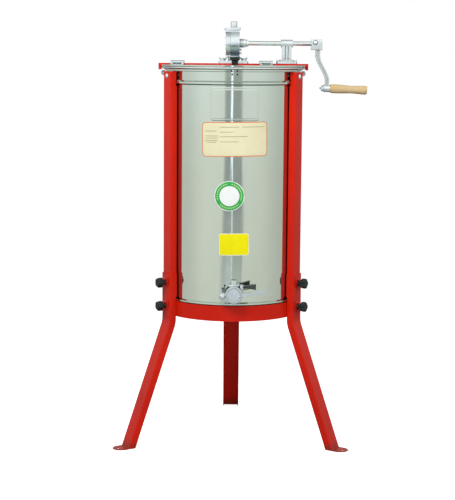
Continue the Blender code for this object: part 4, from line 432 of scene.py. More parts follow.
def weld_group(name, crease=None):
    """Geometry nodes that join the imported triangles' points and shade them smooth, ready for a bevel.
    Edges sharper than the crease stay sharp."""
    tree = bpy.data.node_groups.new(name, "GeometryNodeTree")
    tree.interface.new_socket("Geometry", in_out="INPUT", socket_type="NodeSocketGeometry")
    tree.interface.new_socket("Geometry", in_out="OUTPUT", socket_type="NodeSocketGeometry")
    start = tree.nodes.new("NodeGroupInput")
    end = tree.nodes.new("NodeGroupOutput")
    plain = node(
        tree,
        "GeometryNodeSetMeshNormal",
        {0: start.outputs[0], "Remove Custom": True, "Edge Sharpness": False, "Face Sharpness": False},
    )
    merged = node(tree, "GeometryNodeMergeByDistance", {0: plain.outputs[0], "Distance": WELD_REACH})
    smooth = node(tree, "GeometryNodeSetShadeSmooth", {0: merged.outputs[0], "Shade Smooth": True})
    if crease is None:
        tree.links.new(smooth.outputs[0], end.inputs[0])
        return tree
    angle = tree.nodes.new("GeometryNodeInputMeshEdgeAngle").outputs[0]
    pair = {0: angle, 1: crease}
    sharp = node(tree, "FunctionNodeCompare", pair, data_type="FLOAT", operation="GREATER_THAN")
    creased = node(
        tree,
        "GeometryNodeSetShadeSmooth",
        {0: smooth.outputs[0], 1: sharp.outputs[0], "Shade Smooth": False},
        domain="EDGE",
    )
    tree.links.new(creased.outputs[0], end.inputs[0])
    return tree


WELD = weld_group("weld_and_smooth")
WELD_CREASED = weld_group("weld_and_crease", CREASE_ANGLE)
CREASED = ("drum", "hoop", "lid_front", "lid_rear")
SHARED_BEVELS = {
    0.0: ("drum",),
    0.25: ("bevel_gear", "bevel_pinion"),
    0.3: ("lid_front", "lid_rear"),
    0.5: ("hinge_plate_left", "hinge_plate_right"),
    0.6: ("upright_left", "upright_right", "upright_rear", "leg_left", "leg_right", "leg_rear"),
    0.8: ("grip",),
    0.9: ("gate_wing_screw",),
    1.0: ("gate_body", "wing_bolt_left", "wing_bolt_right"),
    1.2: ("gate_flap", "gearbox_foot"),
    1.4: ("gearbox_cap",),
    1.6: ("crank_bracket", "gearbox_cover"),
    3.0: ("gearbox_housing",),
    3.4: ("crank_arm",),
}
BEVELS = {name: width for width, names in SHARED_BEVELS.items() for name in names}
USUAL_BEVEL = 0.4
AREA_WEIGHT = 60


def round_off(piece, width, creased=False):
    """Rounds the sharp edges and keeps broad faces flat to the eye."""
    if width > 0:
        bevel = piece.modifiers.new("round edges", "BEVEL")
        bevel.width = width * MM
        bevel.segments = 2
        bevel.limit_method = "ANGLE"
        bevel.angle_limit = ROUND_ANGLE
        bevel.use_clamp_overlap = True
    weighted = piece.modifiers.new("shade by area", "WEIGHTED_NORMAL")
    weighted.weight = AREA_WEIGHT
    weighted.keep_sharp = creased


def dress_nodes():
    slots_of = {
        name: [slot.material.name if slot.material else None for slot in made.material_slots]
        for name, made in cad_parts.items()
    }
    for name, made in sorted(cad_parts.items()):
        for index, slot_name in enumerate(slots_of[name]):
            found = FINISH_BY_NODE.get(name) or FINISH.get((slot_name or "").split(".")[0])
            if found is not None:
                made.material_slots[index].material = found
        weld = made.modifiers.new("weld", "NODES")
        weld.node_group = WELD_CREASED if name in CREASED else WELD
        flat = made.modifiers.new("merge flat faces", "DECIMATE")
        flat.decimate_type = "DISSOLVE"
        flat.angle_limit = FLAT_ANGLE
        round_off(made, BEVELS.get(name, USUAL_BEVEL), name in CREASED)


# Frames and meshes


def frame_at(origin, along, side=UP):
    """A frame at origin with its local Z along the given direction."""
    z = along.normalized()
    x = side.cross(z)
    if x.length < NO_LENGTH:
        x = RIGHT.copy()
    x.normalize()
    return axes_at(origin, x, z.cross(x), z)


def outward(degrees):
    return Vector((math.cos(math.radians(degrees)), math.sin(math.radians(degrees)), 0.0))


def place_out(out, reach, height):
    """A place so far from the drum's axis in a direction, at a height."""
    return place(reach * out.x, reach * out.y, height)


def section_at(degrees):
    """A frame on the drum's axis, with its X outwards in a direction and its Z up."""
    out = outward(degrees)
    return axes_at(AXIS, out, UP.cross(out), UP)


def from_front(arc):
    """The outward direction at an arc along the drum's wall from its front."""
    angle = arc / DRUM_RADIUS
    return Vector((math.sin(angle), -math.cos(angle), 0.0))


def on_drum(arc, height, lift=0.0):
    """A frame on the drum's wall, with its Z outwards."""
    out = from_front(arc)
    return frame_at(place_out(out, DRUM_RADIUS + lift, height), out)


def as_piece(name, mesh, finish, body, bevel=0.0):
    made = new_object(name, mesh)
    mesh.materials.append(finish)
    for face in mesh.polygons:
        face.use_smooth = True
    round_off(made, bevel)
    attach(made, body)
    return made


def mesh_of(name, points, faces):
    """A closed mesh with its faces turned outwards."""
    mesh = bpy.data.meshes.new(name)
    mesh.from_pydata([tuple(p) for p in points], [], [tuple(f) for f in faces])
    work = bmesh.new()
    work.from_mesh(mesh)
    bmesh.ops.remove_doubles(work, verts=work.verts, dist=0.001 * MM)
    bmesh.ops.recalc_face_normals(work, faces=work.faces)
    work.to_mesh(mesh)
    work.free()
    return mesh


def fitting(name, parts, slot, body="stand", bevel=0.0, finish=None):
    """A piece made of closed parts, given as (points, faces), in its slot's finish or another."""
    points, faces = [], []
    for more_points, more_faces in parts:
        shift = len(points)
        points += list(more_points)
        faces += [tuple(i + shift for i in face) for face in more_faces]
    return as_piece(name, mesh_of(name, points, faces), finish or FINISH[slot], body, bevel)


def round_about(radius, angle, height):
    return Vector((radius * MM * math.cos(angle), radius * MM * math.sin(angle), height * MM))


def lathe(profile, segments, matrix, lobes=0):
    """Revolves (radius, height) points about the local Z, closed at both ends. A third value is how
    deep the dips between so many lobes are at that height."""
    points, faces, rings = [], [], []
    for radius, height, *depth in profile:
        turns = 1 if radius < NO_LENGTH else segments
        rings.append(list(range(len(points), len(points) + turns)))
        for step in range(turns):
            angle = TAU * step / segments
            reach = radius - sum(depth) * (1 - math.cos(lobes * angle)) / 2
            points.append(matrix @ round_about(reach, angle, height))
    for lower, upper in zip(rings, rings[1:]):
        if len(lower) == 1 and len(upper) == 1:
            continue
        for step in range(segments):
            after = (step + 1) % segments
            if len(lower) == 1:
                faces.append((lower[0], upper[step], upper[after]))
            elif len(upper) == 1:
                faces.append((lower[step], lower[after], upper[0]))
            else:
                faces.append((lower[step], lower[after], upper[after], upper[step]))
    faces += [tuple(ring) for ring in (rings[0], rings[-1]) if len(ring) > 1]
    return points, faces


def ring_lathe(loop, segments, matrix):
    """Revolves a closed loop of (radius, height) points, which makes a ring."""
    count = len(loop)
    points = [
        matrix @ round_about(radius, TAU * step / segments, height)
        for step in range(segments)
        for radius, height in loop
    ]
    faces = []
    for step in range(segments):
        here = step * count
        there = (step + 1) % segments * count
        for index in range(count):
            follow = (index + 1) % count
            faces.append((here + index, there + index, there + follow, here + follow))
    return points, faces


def prism(outline, low, high, matrix):
    """Extrudes an outline of (x, y) millimetres from low to high along the local Z."""
    count = len(outline)
    points = [matrix @ Vector((x * MM, y * MM, low * MM)) for x, y in outline]
    points += [matrix @ Vector((x * MM, y * MM, high * MM)) for x, y in outline]
    faces = [tuple(range(count - 1, -1, -1)), tuple(range(count, 2 * count))]
    for index in range(count):
        follow = (index + 1) % count
        faces.append((index, follow, follow + count, index + count))
    return points, faces


def polygon(radius, count):
    return [(radius * math.cos(TAU * i / count), radius * math.sin(TAU * i / count)) for i in range(count)]


def hexagon(across):
    return polygon(across / 2 / math.cos(math.pi / 6), 6)


def catmull_rom(a, b, c, d, t):
    curve = (2 * a - 5 * b + 4 * c - d) + (3 * b - a - 3 * c + d) * t
    return 0.5 * (2 * b + ((c - a) + curve * t) * t)


def smooth_profile(points, steps):
    """A smooth line through the given points."""
    ends = [points[0], *points, points[-1]]
    line = []
    for corners in zip(ends, ends[1:], ends[2:], ends[3:]):
        for step in range(steps):
            line.append(tuple(catmull_rom(*values, step / steps) for values in zip(*corners)))
    return line + [tuple(points[-1])]


# The pieces of the drum's front. A middle is an arc along the wall from the front and a height, and
# a size is half the width, half the height and the corners' radius.

SUNK = 0.3
THINNEST = 0.02

PANEL_MIDDLE = (5.2, 1018.0)
PANEL_SIZE = (70.6, 48.0, 9.0)
PANEL_BAND = 6.4
PANEL_RIDGE = 0.55
PANEL_PLATEAU = 0.40
PANEL_LIFT = 0.05

LABEL_MIDDLE = (6.2, 917.6)
LABEL_SIZE = (97.3, 49.6, 11.0)
LABEL_BORDER = 2.4
LABEL_TILT = math.radians(0.8)
# Plain ruled lines, as on a blank form: start, end and height from the label's middle.
RULINGS = (
    (-44.0, 12.0, 35.0), (22.0, 88.0, 35.0), (-44.0, -5.0, 21.0),
    (-44.0, 36.0, 8.0), (-44.0, 11.0, -7.0), (-88.0, -54.0, 24.0),
    (-88.0, -49.0, 10.0), (-88.0, -49.0, 4.0), (-88.0, -49.0, -3.0), (-84.0, -54.0, -8.0),
)
RULING_HALF = 0.75

ROUND_MIDDLE = (-8.6, 754.2)
ROUND_RADIUS = 43.4
RING_RADIUS = 41.6
FIELD_RADIUS = 29.0
DASH_RADIUS = 35.2
DASHES = 34.0
DASH_GROUPS = 3.0

PLAIN_MIDDLE = (6.2, 613.6)
PLAIN_SIZE = (43.6, 32.0, 6.5)
PLAIN_BORDER = 1.3
PLAIN_TILT = math.radians(0.9)

EDGE_LIFT = 0.20
INK_LIFT = 0.28
FIELD_LIFT = 0.30
TOP_LIFT = 0.36


def sheet_on_drum(name, middle, half_width, half_height_at, grid, lift, finish, tilt=0.0, relief=None):
    """A closed patch that lies on the drum's wall. half_height_at gives half its height at a distance
    from its middle, and relief what its face adds to the lift at (across, up)."""
    columns, rows = grid
    points, faces = [], []
    front, back = {}, {}
    for column in range(columns + 1):
        across = -half_width * math.cos(math.pi * column / columns)
        half = max(half_height_at(across), THINNEST)
        for row in range(rows + 1):
            up = half * (2 * row / rows - 1)
            out = from_front(middle[0] + across * math.cos(tilt) - up * math.sin(tilt))
            height = middle[1] + across * math.sin(tilt) + up * math.cos(tilt)
            face = lift + (relief(across, up) if relief else 0.0)
            for store, level in ((front, face), (back, -SUNK)):
                store[column, row] = len(points)
                points.append(place_out(out, DRUM_RADIUS + level, height))
    for column in range(columns):
        for row in range(rows):
            corners = ((column, row), (column + 1, row), (column + 1, row + 1), (column, row + 1))
            faces.append(tuple(front[c] for c in corners))
            faces.append(tuple(back[c] for c in reversed(corners)))
    rim = [(column, 0) for column in range(columns)]
    rim += [(columns, row) for row in range(rows)]
    rim += [(column, rows) for column in range(columns, 0, -1)]
    rim += [(0, row) for row in range(rows, 0, -1)]
    for here, there in zip(rim, rim[1:] + rim[:1]):
        faces.append((front[there], front[here], back[here], back[there]))
    return as_piece(name, mesh_of(name, points, faces), finish, "stand")


def rounded_half_height(half_width, half_height, corner):
    def half_at(across):
        into = abs(across) - (half_width - corner)
        if into <= 0:
            return half_height
        return half_height - corner + math.sqrt(max(corner * corner - into * into, 0.0))

    return half_at


def disc_half_height(radius):
    return lambda across: math.sqrt(max(radius * radius - across * across, 0.0))


def rounded_sheet(name, middle, size, inset, grid, lift, finish, tilt=0.0, relief=None):
    """A sheet with rounded corners, smaller all round by the inset."""
    half_width, half_height, corner = (length - inset for length in size)
    shape = rounded_half_height(half_width, half_height, corner)
    return sheet_on_drum(name, middle, half_width, shape, grid, lift, finish, tilt, relief)


def dashed_ring(tree, ink):
    """A row of plain pale dashes round the sticker, in three groups."""
    middle = place(ROUND_MIDDLE[0], -DRUM_RADIUS, ROUND_MIDDLE[1])
    across, _, up = separate(tree, vector_node(tree, "SUBTRACT", object_place(tree), tuple(middle)))
    radius = math_node(tree, "SQRT", plus(tree, times(tree, across, across), times(tree, up, up)))
    turn = math_node(tree, "ARCTAN2", up, across)
    wave = math_node(tree, "SINE", times(tree, turn, DASHES))
    long_wave = math_node(tree, "SINE", times(tree, turn, DASH_GROUPS))
    dashes = times(
        tree, spread(tree, wave, -0.45, 0.1, 0.0, 0.8), spread(tree, long_wave, -0.95, -0.8, 0.0, 1.0)
    )
    off = distance(tree, radius, DASH_RADIUS * MM)
    dashes = times(tree, dashes, spread(tree, off, 1.3 * MM, 2.1 * MM, 1.0, 0.0))
    return colour_mix(tree, dashes, ink, (0.66, 0.68, 0.42))


CREAM = make_vinyl("cream_label_film", (0.69, 0.65, 0.43), (0.645, 0.61, 0.41))
ORANGE = make_vinyl("orange_border_ink", (0.66, 0.20, 0.06), (0.58, 0.17, 0.05))
OLIVE = make_vinyl("olive_ruling_ink", (0.30, 0.29, 0.14), (0.25, 0.24, 0.12))
GREEN = make_vinyl("green_ring_ink", (0.035, 0.37, 0.075), (0.03, 0.33, 0.065), 0.30, dashed_ring)
WHITE = make_vinyl("white_sticker_film", (0.78, 0.80, 0.79), (0.71, 0.73, 0.73))
YELLOW = make_vinyl("yellow_sticker_film", (0.80, 0.73, 0.006), (0.75, 0.67, 0.005))


def smooth_rise(value, low, high):
    share = min(max((value - low) / (high - low), 0.0), 1.0)
    return share * share * (3 - 2 * share)


def panel_relief(across, up):
    """A pressed panel's face: a ridge at its outer border, a sloping band and a raised field."""
    half_width, half_height, corner = PANEL_SIZE
    over_x = max(abs(across) - (half_width - corner), 0.0)
    over_y = max(abs(up) - (half_height - corner), 0.0)
    if over_x > 0 and over_y > 0:
        inside = corner - math.hypot(over_x, over_y)
    else:
        inside = min(half_width - abs(across), half_height - abs(up))
    rise = smooth_rise(inside, 0.4, 2.2) * PANEL_RIDGE
    drop = smooth_rise(inside, 2.4, 4.6) * PANEL_RIDGE * 0.55
    lift = smooth_rise(inside, PANEL_BAND - 1.6, PANEL_BAND + 1.2) * PANEL_PLATEAU
    return rise - drop + lift


def dress_panel_and_label():
    panel = (PANEL_MIDDLE, PANEL_SIZE, 0.0, (96, 72), PANEL_LIFT, FINISH["stainless_steel"])
    rounded_sheet("pressed_panel", *panel, relief=panel_relief)
    for name, inset, lift, finish in (
        ("label_border", 0.0, EDGE_LIFT, ORANGE),
        ("label_field", LABEL_BORDER, FIELD_LIFT, CREAM),
    ):
        rounded_sheet(name, LABEL_MIDDLE, LABEL_SIZE, inset, (72, 8), lift, finish, LABEL_TILT)
    for index, (start, stop, height) in enumerate(RULINGS):
        along = (start + stop) / 2
        middle = (LABEL_MIDDLE[0] + along, LABEL_MIDDLE[1] + height + along * math.sin(LABEL_TILT))
        shape = ((stop - start) / 2, lambda across: RULING_HALF, (16, 1))
        sheet_on_drum(f"label_ruling_{index + 1}", middle, *shape, TOP_LIFT, OLIVE, LABEL_TILT)


def dress_stickers():
    for name, radius, lift, finish in (
        ("round_sticker_edge", ROUND_RADIUS, EDGE_LIFT, WHITE),
        ("round_sticker_ring", RING_RADIUS, INK_LIFT, GREEN),
        ("round_sticker_field", FIELD_RADIUS, TOP_LIFT, WHITE),
    ):
        sheet_on_drum(name, ROUND_MIDDLE, radius, disc_half_height(radius), (56, 12), lift, finish)
    for name, inset, lift, finish in (
        ("plain_sticker_edge", 0.0, EDGE_LIFT, WHITE),
        ("plain_sticker_field", PLAIN_BORDER, INK_LIFT, YELLOW),
    ):
        rounded_sheet(name, PLAIN_MIDDLE, PLAIN_SIZE, inset, (48, 6), lift, finish, PLAIN_TILT)


# Arc, height and lift of the rivets: two on the rim's band and two on the wall under it.
RIM_BAND_LIFT = 4.8
RIVETS = (
    (-4.7, 1112.4, RIM_BAND_LIFT), (11.4, 1112.4, RIM_BAND_LIFT), (-3.1, 1102.5, 0.0), (11.7, 1102.6, 0.0),
)


def dress_rivets():
    head = [(2.7, -0.5), (2.7, 0.15), (2.4, 0.8), (1.5, 1.3), (0.0, 1.5)]
    for index, seat in enumerate(RIVETS):
        fitting(f"rim_rivet_{index + 1}", [lathe(head, 20, on_drum(*seat))], "dark_metal")


# Turned and moulded pieces

STATIONS = {"left": -150.0, "right": -30.0, "rear": 90.0}
KNOB_LEVELS = {"upper": 488.0, "lower": 418.0}
LEG_FACE = 225.8
KNOB_LOBES = 5
LID_KNOB_RIBS = 14


def dress_leg_knobs():
    """Star knobs, and the pressed bosses of the legs that they bear on."""
    moulding = [
        (0.0, -15.0, 0.0), (3.4, -15.0, 0.0), (3.9, -14.4, 0.0), (3.9, 0.35, 0.0), (8.9, 0.35, 0.0),
        (8.2, 2.4, 0.0), (7.0, 6.0, 0.0), (6.9, 9.4, 0.0), (8.0, 11.2, 0.2), (11.4, 12.3, 0.9),
        (14.2, 13.4, 1.8), (15.2, 15.2, 2.3), (15.5, 17.6, 2.5), (15.5, 23.4, 2.5), (15.1, 26.2, 2.3),
        (13.8, 28.2, 1.8), (11.6, 29.2, 1.1), (8.6, 29.2, 0.4), (7.4, 28.6, 0.1), (0.0, 28.3, 0.0),
    ]
    boss = [(9.7, 0.03), (17.0, 0.03), (16.6, 0.6), (13.6, 1.5), (11.2, 2.3), (10.2, 2.4), (9.7, 2.0)]
    for side, degrees in STATIONS.items():
        out = outward(degrees)
        for level, height in KNOB_LEVELS.items():
            seat = frame_at(place_out(out, LEG_FACE, height), out)
            name = f"leg_knob_{side}_{level}"
            star = [lathe(moulding, 80, seat, KNOB_LOBES)]
            knob = fitting(f"moulded_{name}", star, "black_plastic", f"knob_{side}_{level}")
            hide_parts(name)
            fitting(f"pressed_boss_{side}_{level}", [ring_lathe(boss, 48, seat)], "red_paint")


def dress_lid_knobs():
    moulding = [
        (0.0, 0.35, 0.0), (9.3, 0.35, 1.3), (9.3, 12.4, 1.3), (9.6, 13.6, 0.8), (10.4, 14.3, 0.3),
        (13.9, 14.5, 0.5), (14.7, 15.3, 0.9), (14.9, 16.6, 1.0), (14.9, 22.2, 1.0), (14.3, 23.4, 0.7),
        (12.6, 23.9, 0.3), (8.0, 23.9, 0.0), (7.0, 23.4, 0.0), (0.0, 23.3, 0.0),
    ]
    for side in ("front", "rear"):
        low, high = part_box(f"lid_knob_{side}")
        seat = Matrix.Translation(Vector(((low.x + high.x) / 2, (low.y + high.y) / 2, low.z - SUNK * MM)))
        ribbed = [lathe(moulding, 112, seat, LID_KNOB_RIBS)]
        knob = fitting(f"moulded_lid_knob_{side}", ribbed, "black_plastic", f"lid_{side}")
        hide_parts(f"lid_knob_{side}")


SPINDLE_START = (278.75, 0.0, 1060.2)
GRIP_START = 10.05
GRIP_LENGTH = 111.0
GRIP_RADIUS = 13.45
SPINDLE_BORE = 4.4
END_BORE = 7.5
END_DEPTH = 4.5


def dress_grip():
    """The turned handle, on the axis of its spindle."""
    seat = frame_at(place(*SPINDLE_START), Vector((math.cos(GRIP_DROOP), 0.0, -math.sin(GRIP_DROOP))))
    shares = (
        (0.0, 0.78), (0.012, 0.88), (0.04, 0.955), (0.12, 1.0), (0.30, 0.97), (0.48, 0.88), (0.62, 0.86),
        (0.80, 0.93), (0.92, 0.98), (0.965, 0.955), (0.99, 0.87), (1.0, 0.78),
    )
    line = [(r * GRIP_RADIUS, GRIP_START + t * GRIP_LENGTH) for t, r in smooth_profile(shares, 5)]
    end = GRIP_START + GRIP_LENGTH
    floor = end - END_DEPTH
    hollow = [(END_BORE, end), (END_BORE, floor), (SPINDLE_BORE, floor), (SPINDLE_BORE, GRIP_START)]
    grip = fitting("turned_grip", [ring_lathe(line + hollow, 72, seat)], "pale_wood", "grip", 0.5)
    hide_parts("grip")


FOOT_TOP = 1139.6
WING_HALF = 1.7
# Each wing bolt's place across the gearbox foot and the turn of its wings.
WING_BOLTS = (("left", -31.0, 24.0), ("right", 31.0, -38.0))


def dress_wing_bolts():
    hub = [
        (0.0, -10.3), (2.9, -10.3), (2.9, 0.35), (7.6, 0.35), (7.8, 0.9), (7.2, 2.6), (5.9, 5.4), (4.6, 7.0),
        (2.6, 7.9), (0.0, 8.0),
    ]
    wing = [
        (1.5, 1.6), (6.4, 1.9), (9.6, 3.3), (11.8, 5.6), (12.8, 8.2), (12.4, 10.0), (11.0, 10.9), (9.2, 10.5),
        (7.6, 8.9), (6.0, 7.2), (3.6, 6.8), (1.5, 7.2),
    ]
    for side, x, turn in WING_BOLTS:
        seat = place(x, 0.0, FOOT_TOP)
        parts = [lathe(hub, 32, Matrix.Translation(seat))]
        for out in (outward(turn), -outward(turn)):
            parts.append(prism(wing, -WING_HALF, WING_HALF, axes_at(seat, out, UP, out.cross(UP))))
        polished = FINISH["polished_metal"]
        nut = fitting(f"cast_wing_bolt_{side}", parts, "zinc_plate", f"wing_{side}", 0.7, polished)
        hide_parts(f"wing_bolt_{side}")


# The gearbox and its shaft

SHAFT_HEIGHT = 1192.0
COVER_FACE = -23.0
COVER_SCREW_RADIUS = 32.0
HOUSING_FACE = 18.0
# Across and height of the studs in the housing's right face.
SIDE_SCREWS = ((-17.0, 1173.2), (-15.0, 1162.4), (17.0, 1173.2), (15.0, 1162.4))
NECK_STUDS = 14
NECK_LOW, NECK_HIGH = 1149.2, 1153.4
CAP_PIN = (-21.0, -9.0, 1233.0)
# Along the shaft and out from its axis, for the two rows of set screws in the collar.
COLLAR_SCREWS = ((33.4, 11.4), (41.0, 9.5))
HUB_SCREW = (243.0, -14.5, 1195.4)


def round_shaft(degrees):
    """The direction away from the crank shaft's axis, from the back over the top."""
    return Vector((0.0, math.cos(math.radians(degrees)), math.sin(math.radians(degrees))))


def beside_shaft(x, reach, out):
    return place(x, reach * out.y, SHAFT_HEIGHT + reach * out.z)


def dress_gearbox():
    """Screws of the cover, studs of the side and neck, and the pin beside the cap."""
    screw = [(2.9, -SUNK), (2.9, 0.7), (2.494, 1.5), (1.45, 2.0), (0.0, 2.08)]
    parts = []
    for turn in range(30, 390, 60):
        seat = beside_shaft(COVER_FACE, COVER_SCREW_RADIUS, round_shaft(turn))
        parts.append(lathe(screw, 20, frame_at(seat, -RIGHT)))
    fitting("cover_screws", parts, "zinc_plate")
    stud = [(2.0, -0.3), (2.0, 1.6), (3.5, 1.8), (3.5, 4.8), (3.0, 6.0), (0.0, 6.3)]
    for index, (y, z) in enumerate(SIDE_SCREWS):
        seat = frame_at(place(HOUSING_FACE, y, z), RIGHT)
        fitting(f"side_screw_{index + 1}", [lathe(stud, 20, seat)], "zinc_plate")
    block = [(16.2, -2.4), (19.4, -2.4), (20.2, -1.4), (20.2, 1.4), (19.4, 2.4), (16.2, 2.4)]
    turns = [360.0 * index / NECK_STUDS for index in range(NECK_STUDS)]
    parts = [prism(block, NECK_LOW, NECK_HIGH, section_at(turn)) for turn in turns]
    fitting("neck_studs", parts, "polished_metal", bevel=0.5)
    pin = [(1.6, -2.0), (1.6, 5.0), (2.6, 5.2), (2.6, 7.6), (1.6, 8.4), (0.0, 8.5)]
    fitting("cap_pin", [lathe(pin, 20, frame_at(place(*CAP_PIN), -RIGHT))], "zinc_plate")


def dress_shaft():
    """The stepped collar with its set screws, and the set screw in the arm's hub."""
    collar = [
        (6.9, 30.4), (11.6, 30.4), (11.9, 30.9), (11.9, 35.6), (11.2, 36.4), (9.2, 36.9), (9.2, 38.0),
        (10.0, 38.5), (10.0, 43.4), (9.4, 44.2), (6.9, 44.2),
    ]
    seat = frame_at(place(0.0, 0.0, SHAFT_HEIGHT), RIGHT)
    made = fitting("turned_collar", [ring_lathe(collar, 48, seat)], "zinc_plate", "crank", 0.3)
    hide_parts("shaft_collar")
    screw = [(2.2, -0.4), (2.2, 1.6), (1.7, 2.2), (0.0, 2.3)]
    parts = []
    for x, reach in COLLAR_SCREWS:
        for turn in (70.0, 190.0, 310.0):
            out = round_shaft(turn)
            parts.append(lathe(screw, 16, frame_at(beside_shaft(x, reach, out), out)))
    fitting("collar_screws", parts, "zinc_plate", "crank")
    seat = frame_at(place(*HUB_SCREW), FRONT)
    head = [(6.4, -0.4), (6.4, 1.0), (5.4, 2.6), (3.4, 3.6), (1.6, 4.0), (0.0, 4.1)]
    fitting("hub_set_screw", [lathe(head, 32, seat)], "zinc_plate", "crank")
    hollow = [(6.3, -0.4), (7.6, -0.4), (7.6, 0.25), (6.3, 0.25)]
    fitting("hub_screw_seat", [ring_lathe(hollow, 32, seat)], "dark_metal", "crank")


# The drum's rim and what is fixed to the drum

RIM_BAND_FACE = 204.6
CLAMP_HEIGHT = 1103.4
LEG_TOP = 514.0
FLANGE_HIGH = 1068.0
FLANGE_LOW = 447.0
LEG_LAP = 0.6
SEAM_DEGREES = 60.0
SEAM_LOW, SEAM_HIGH = 445.0, 1070.0
UPRIGHT_FACE = 223.0
BOLT_HEIGHT = 1096.0


def dress_rim():
    """The nuts under the crossbar's hooks and the rolled flare of the rim."""
    for side, sign in (("left", -1), ("right", 1)):
        out = RIGHT * sign
        seat = frame_at(place_out(out, RIM_BAND_FACE, CLAMP_HEIGHT), out)
        parts = [
            prism(hexagon(14.6), 1.2, 8.6, seat),
            lathe([(0.0, 0.0), (8.6, 0.0), (8.6, 1.2), (0.0, 1.2)], 32, seat),
            lathe([(0.0, 8.4), (3.6, 8.4), (3.6, 10.6), (2.8, 11.4), (0.0, 11.4)], 24, seat),
        ]
        fitting(f"rim_clamp_{side}", parts, "zinc_plate", bevel=0.5)
    flare = [
        (204.9, 1115.4), (208.4, 1115.3), (212.6, 1116.1), (215.6, 1117.6), (216.8, 1119.0), (216.9, 1120.0),
        (216.2, 1122.0), (215.2, 1123.5), (213.4, 1123.6), (211.0, 1120.6), (204.9, 1117.6),
    ]
    ring = [ring_lathe(flare, 128, Matrix.Translation(AXIS))]
    fitting("rim_flare", ring, "stainless_steel", finish=POLISHED_RIM)


def dress_flanges():
    """The folded edges of the uprights' flanges and of the legs' over them, close to the drum."""
    upright = [(201.4, 20.7), (201.9, 20.4), (205.2, 20.6), (205.2, 22.4), (201.9, 22.45), (201.4, 22.1)]
    leg = [(201.4, 23.1), (201.9, 22.9), (205.2, 23.0), (205.2, 25.2), (201.9, 25.25), (201.4, 24.9)]
    for side, degrees in STATIONS.items():
        section = section_at(degrees)
        parts = []
        for sign in (1, -1):
            parts.append(prism([(x, sign * y) for x, y in upright], LEG_TOP, FLANGE_HIGH, section))
            parts.append(prism([(x, sign * y) for x, y in leg], FLANGE_LOW, LEG_TOP + LEG_LAP, section))
        fitting(f"flange_edges_{side}", parts, "red_paint", bevel=0.2)


def dress_seam():
    """The drum's welded seam."""
    seam = [(-2.4, -SUNK), (2.4, -SUNK), (1.7, 0.32), (-1.7, 0.32)]
    out = outward(SEAM_DEGREES)
    wall = axes_at(place_out(out, DRUM_RADIUS, 0.0), UP.cross(out), out, UP)
    fitting("drum_seam", [prism(seam, SEAM_LOW, SEAM_HIGH, wall)], "stainless_steel", bevel=0.3)


def dress_upright_bolts():
    lens = [
        (0.0, -4.5), (3.9, -4.5), (3.9, 0.35), (7.25, 0.35), (7.25, 0.9), (6.4, 2.1), (4.6, 3.1), (2.4, 3.65),
        (0.0, 3.8),
    ]
    for side, degrees in STATIONS.items():
        out = outward(degrees)
        seat = frame_at(place_out(out, UPRIGHT_FACE, BOLT_HEIGHT), out)
        head = fitting(f"lens_bolt_{side}", [lathe(lens, 40, seat)], "zinc_plate")
        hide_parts(f"upright_bolt_{side}")


# The honey gate. Its places are to the right of its centre, above it and out from the drum's axis.

GATE_CENTRE = (6.5, 471.5)
FLAP_SEAT = 236.3
TUBE_MIDDLE = 216.5
LUG_PLACE = (15.6, -3.4, FLAP_SEAT)
CAP_NUT_PLACE = (0.0, 22.6, TUBE_MIDDLE)
SHOULDER_PLACE = (0.0, 20.0, TUBE_MIDDLE)
DISC_PLACE = (-33.0, -2.4, 240.1)
PIN_PLACE = (-31.8, 3.0, 226.0)


def gate_seat(spot, along=FRONT, side=UP):
    x, y, z = spot
    return frame_at(place(GATE_CENTRE[0] + x, -z, GATE_CENTRE[1] + y), along, side)


def dress_gate():
    rim = [(20.6, 6.0), (24.3, 6.0), (24.3, 6.6), (23.4, 7.5), (21.5, 7.5), (20.6, 6.6)]
    seat = gate_seat((0.0, 0.0, FLAP_SEAT))
    fitting("flap_rim", [ring_lathe(rim, 64, seat)], "polished_metal", "flap", 0.2)
    lug = [(-4.0, -2.6), (4.2, -1.6), (5.0, 0.6), (3.4, 2.8), (-3.6, 2.4), (-5.0, 0.2)]
    seat = gate_seat(LUG_PLACE, FRONT, -UP)
    fitting("flap_lug", [prism(lug, 7.0, 8.8, seat)], "polished_metal", "flap", 0.7)
    seat = gate_seat(CAP_NUT_PLACE, UP)
    top = [(0.0, 7.4), (8.4, 7.4), (8.4, 9.0), (0.0, 9.0)]
    cap = [prism(hexagon(21.4), 0.0, 7.4, seat), lathe(top, 32, seat)]
    fitting("gate_cap_nut", cap, "polished_metal", bevel=0.8)
    shoulder = [
        (-17.6, -7.0), (-12.0, -12.4), (12.0, -12.4), (17.6, -7.0), (17.6, 7.0), (12.0, 12.4), (-12.0, 12.4),
        (-17.6, 7.0),
    ]
    seat = gate_seat(SHOULDER_PLACE, UP, -FRONT)
    fitting("gate_shoulder", [prism(shoulder, 0.0, 9.0, seat)], "polished_metal", bevel=2.0)
    disc = [
        (0.0, 0.0), (9.6, 0.0), (9.9, 0.8), (9.4, 2.2), (7.6, 2.6), (6.6, 1.6), (5.6, 1.6), (5.2, 3.4),
        (3.6, 4.6), (0.0, 5.0),
    ]
    fitting("pivot_disc", [lathe(disc, 48, gate_seat(DISC_PLACE))], "polished_metal", "flap")
    pin = [(1.3, 0.0), (1.3, 11.0), (2.6, 11.4), (3.3, 13.0), (3.3, 15.4), (2.4, 17.0), (0.0, 17.4)]
    fitting("pivot_pin", [lathe(pin, 24, gate_seat(PIN_PLACE, UP))], "dark_metal")


# Lights, floor and background

